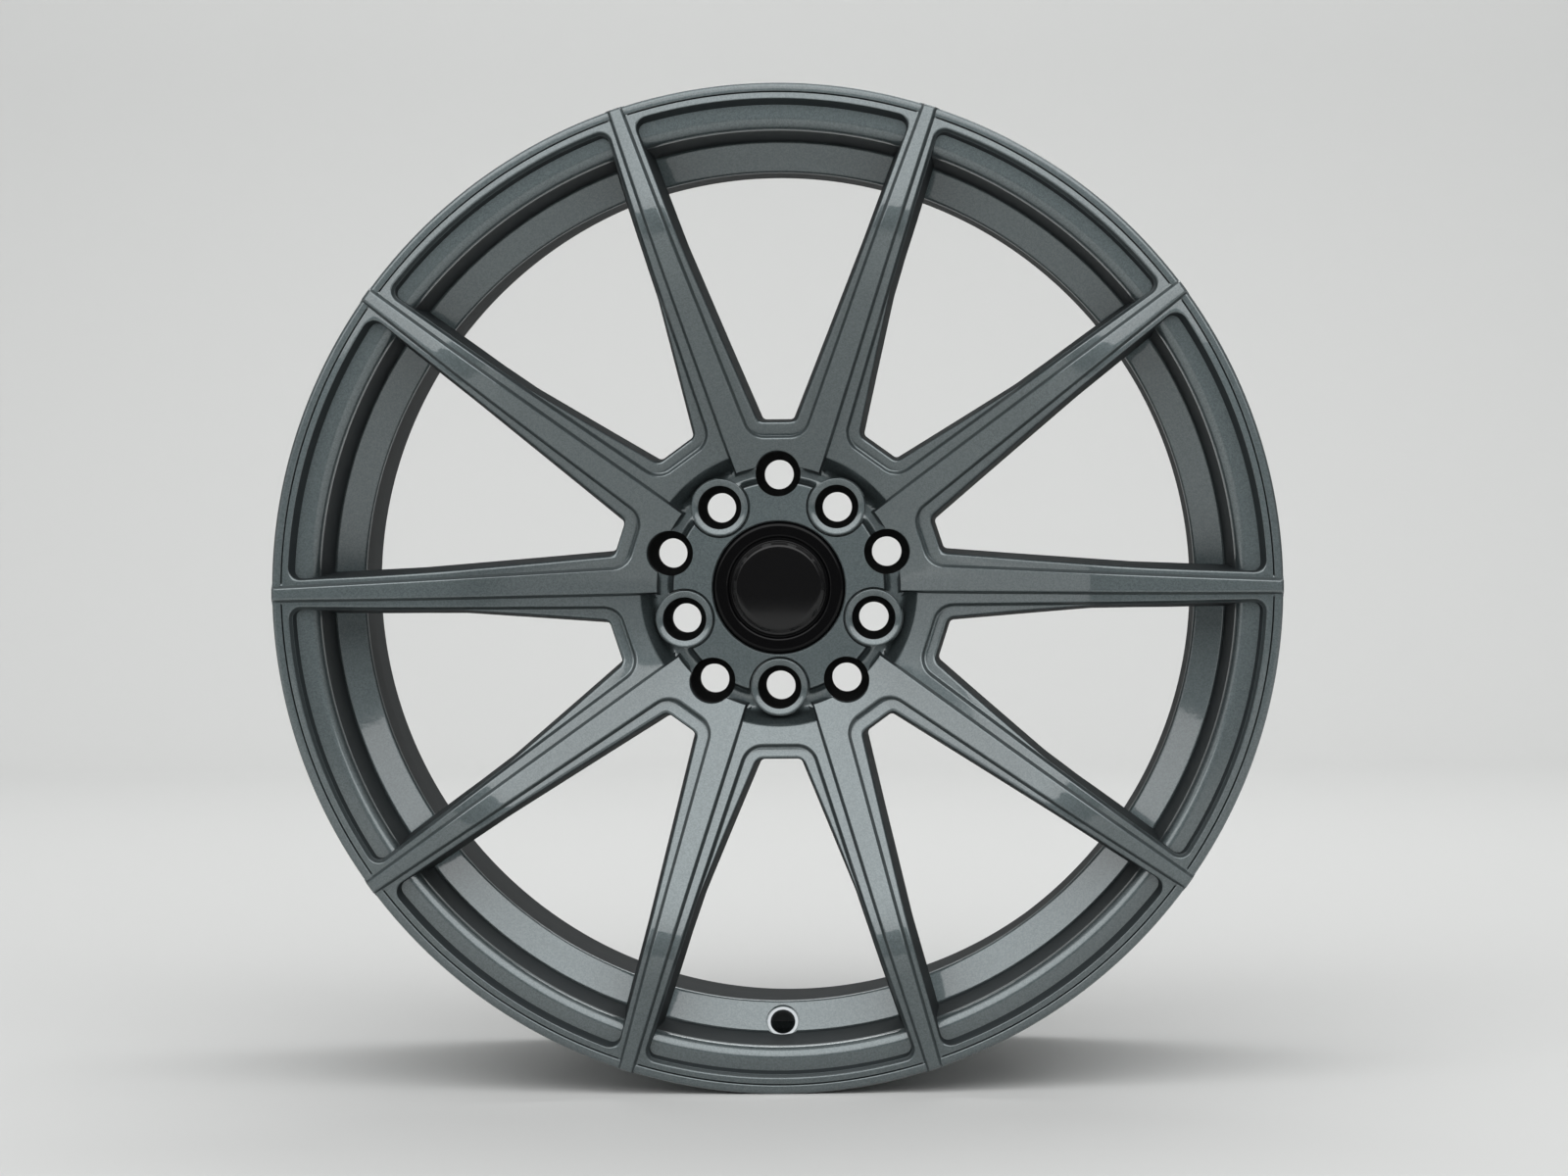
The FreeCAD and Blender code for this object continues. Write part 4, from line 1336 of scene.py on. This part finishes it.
# Bright steel wire with fine drawing marks
SPRING_STEEL = MottledFinish("drawn_spring_steel", "#9a9a9c", "#c4c4c6", (0.22, 0.38), 0.4,
                             inputs=(("Metallic", 1.0),))
# Dull pale paper, even in tone, with a hardly visible grain
PALE_PAPER = MottledFinish("matt_pale_paper", "#d2d3d2", "#d2d3d2", (0.9, 0.9), 6.0, Relief(6.0, 2.0, 0.02, 0.0005))


def looking(place: Triple, aim: Triple) -> Matrix:
    """Pose of a lamp or camera that stands at one place and looks at another, both in metres."""
    turn = (Vector(aim) - Vector(place)).to_track_quat("-Z", "Y")
    return Matrix.Translation(place) @ turn.to_matrix().to_4x4()


@dataclass(frozen=True)
class Lamp:
    """A soft rectangular lamp: place, width, height and aim in metres, power in watts."""

    name: str
    place: Triple
    size: tuple[float, float]
    power: float
    aim: Triple = (0.0, 0.0, 0.0)

    def hang(self) -> None:
        """Adds the lamp to the scene."""
        data = bpy.data.lights.new(self.name, "AREA")
        data.shape = "RECTANGLE"
        data.size, data.size_y = self.size
        data.energy = self.power
        lamp = bpy.data.objects.new(self.name, data)
        bpy.context.scene.collection.objects.link(lamp)
        lamp.matrix_world = looking(self.place, self.aim)


@dataclass
class Studio:
    """Pale floor that curves up into a backdrop, soft lights and the camera."""

    half_width: float = 4000.0
    front: float = -5000.0
    bend_start: float = 2600.0
    bend_radius: float = 900.0
    bend_steps: int = 24
    height: float = 4000.0
    sky_height: float = 0.9
    sky: tuple[float, float] = (0.2, 0.45)
    camera_place: Triple = (0.055, -2.085, 0.030)
    camera_aim: Triple = (0.0039, -0.085, 0.0005)
    camera_roll: float = 0.5
    lens: float = 93.7
    sensor: float = 36.0
    lamps: tuple[Lamp, ...] = (
        Lamp("front", (0.0, -2.2, 1.85), (4.8, 3.2), 97.0),
        Lamp("back", (0.5, 1.3, 2.2), (2.4, 0.8), 14.0),
        Lamp("backdrop", (0.0, 1.7, 2.8), (4.0, 0.6), 45.0, (0.0, 3.5, 0.4)),
        Lamp("left", (-2.4, -1.6, 0.3), (1.2, 1.8), 5.0),
        Lamp("right", (2.4, -1.6, 0.3), (1.2, 1.8), 2.0),
    )

    def backdrop(self) -> None:
        """Adds a floor line, a quarter circle and a wall line, carried sideways."""
        angle = np.linspace(0.0, math.pi / 2, self.bend_steps)
        run = np.concatenate(([self.front], self.bend_start + self.bend_radius * np.sin(angle),
                              [self.bend_start + self.bend_radius]))
        rise = np.concatenate(([0.0], self.bend_radius * (1 - np.cos(angle)), [self.height])) - RIM_RADIUS
        sides = np.array((-self.half_width, self.half_width))
        grid = np.broadcast_arrays(sides[None, :], rise[:, None], run[:, None] + MOUNT_DEPTH)
        sheet = Patchwork()
        sheet.add_grid(np.stack(grid, axis=-1))
        floor = sheet.piece("studio_floor")
        floor.data.shade_smooth()
        floor.data.materials.append(PALE_PAPER.material())

    def world(self) -> None:
        """Adds even soft light, brighter above than below."""
        world = bpy.data.worlds.new("studio")
        bpy.context.scene.world = world
        world.use_nodes = True
        tree = world.node_tree
        tree.nodes.clear()
        way = add_node(tree, "TexCoord").outputs["Generated"]
        parts = add_node(tree, "SeparateXYZ", links={"Vector": way})
        level = add_node(tree, "MapRange",
                         {"From Max": self.sky_height, "To Min": self.sky[0], "To Max": self.sky[1]},
                         {"Value": parts.outputs["Z"]}, interpolation_type="SMOOTHSTEP")
        light = add_node(tree, "Background", {"Color": (1.0, 1.0, 1.0, 1.0)},
                         {"Strength": level.outputs["Result"]})
        add_node(tree, "OutputWorld", links={"Surface": light.outputs["Background"]})

    def camera(self) -> None:
        """Adds the camera at the photograph's place, turned by its small roll."""
        data = bpy.data.cameras.new("camera")
        data.lens = self.lens
        data.sensor_width = self.sensor
        camera = bpy.data.objects.new("camera", data)
        bpy.context.scene.collection.objects.link(camera)
        roll = Matrix.Rotation(math.radians(-self.camera_roll), 4, "Z")
        camera.matrix_world = looking(self.camera_place, self.camera_aim) @ roll
        bpy.context.scene.camera = camera

    def build(self) -> None:
        """Sets up floor, world, lamps and camera."""
        self.backdrop()
        self.world()
        for lamp in self.lamps:
            lamp.hang()
        self.camera()
        bpy.context.scene.view_settings.view_transform = "Standard"


def face_middles(piece: Object) -> Grid:
    """Finds the middle of each face of a piece.

    Args:
        piece: the piece.

    Returns:
        The middles, in millimetres.
    """
    middles = np.empty(len(piece.data.polygons) * 3)
    piece.data.polygons.foreach_get("center", middles)
    return middles.reshape(-1, 3) / MM


def repaint(piece: Object, chosen: Mask, material: Material) -> None:
    """Gives some faces of a piece a second finish.

    Args:
        piece: the piece.
        chosen: True for each face that takes the second finish.
        material: the second finish.
    """
    piece.data.materials.append(material)
    piece.data.polygons.foreach_set("material_index", chosen.astype(np.int32))


def dress(piece: Object, material: Material, node: str) -> None:
    """Gives a piece its finish and ties it to the frame.

    Args:
        piece: the new piece.
        material: its finish.
        node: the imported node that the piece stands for.
    """
    piece.data.materials.clear()
    piece.data.polygons.foreach_set("material_index", np.zeros(len(piece.data.polygons), dtype=np.int32))
    piece.data.materials.append(material)
    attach(piece, BODY)
    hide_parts(node)
    LOG.info("%s: %d faces", piece.name, len(piece.data.polygons))


def main() -> None:
    """Builds the wheel, its cap and the studio."""
    logging.basicConfig(level=logging.INFO, format="%(name)s: %(message)s")
    paint = MetallicPaint()
    # On the rim, the faces that look at the axle, the barrel's inside, take the dark painted shade as well
    rim_paint = replace(paint, name="graphite_metallic_rim_paint", reach=(0.02, 0.3), outside=1.0).material()
    spoke_paint = paint.material()
    barrel, disc, cap = RimBarrel(), SpokeDisc(), CentreCap()
    rim, spokes, ribs = barrel.build(), disc.build(), RibPairs().build()
    for piece, finish in ((rim, rim_paint), (spokes, spoke_paint), (ribs, spoke_paint)):
        dress(piece, finish, "wheel")
    # The faces inside the bolt pockets take painted shade: a matt black for the shade in these deep pockets
    pocket_shade = PAINTED_POCKET_SHADE.material()
    for piece in (spokes, ribs):
        repaint(piece, disc.in_pockets(face_middles(piece)), pocket_shade)
    repaint(rim, barrel.on_valve_ring(face_middles(rim)), MACHINED_ALUMINIUM.material())
    dress(cap.body(), MOULDED_BLACK.material(), "cap_body")
    dress(cap.badge(), POLISHED_BLACK.material(), "cap_badge")
    dress(cap.wire(), SPRING_STEEL.material(), "cap_ring")
    Studio().build()


if __name__ == "__main__":
    main()
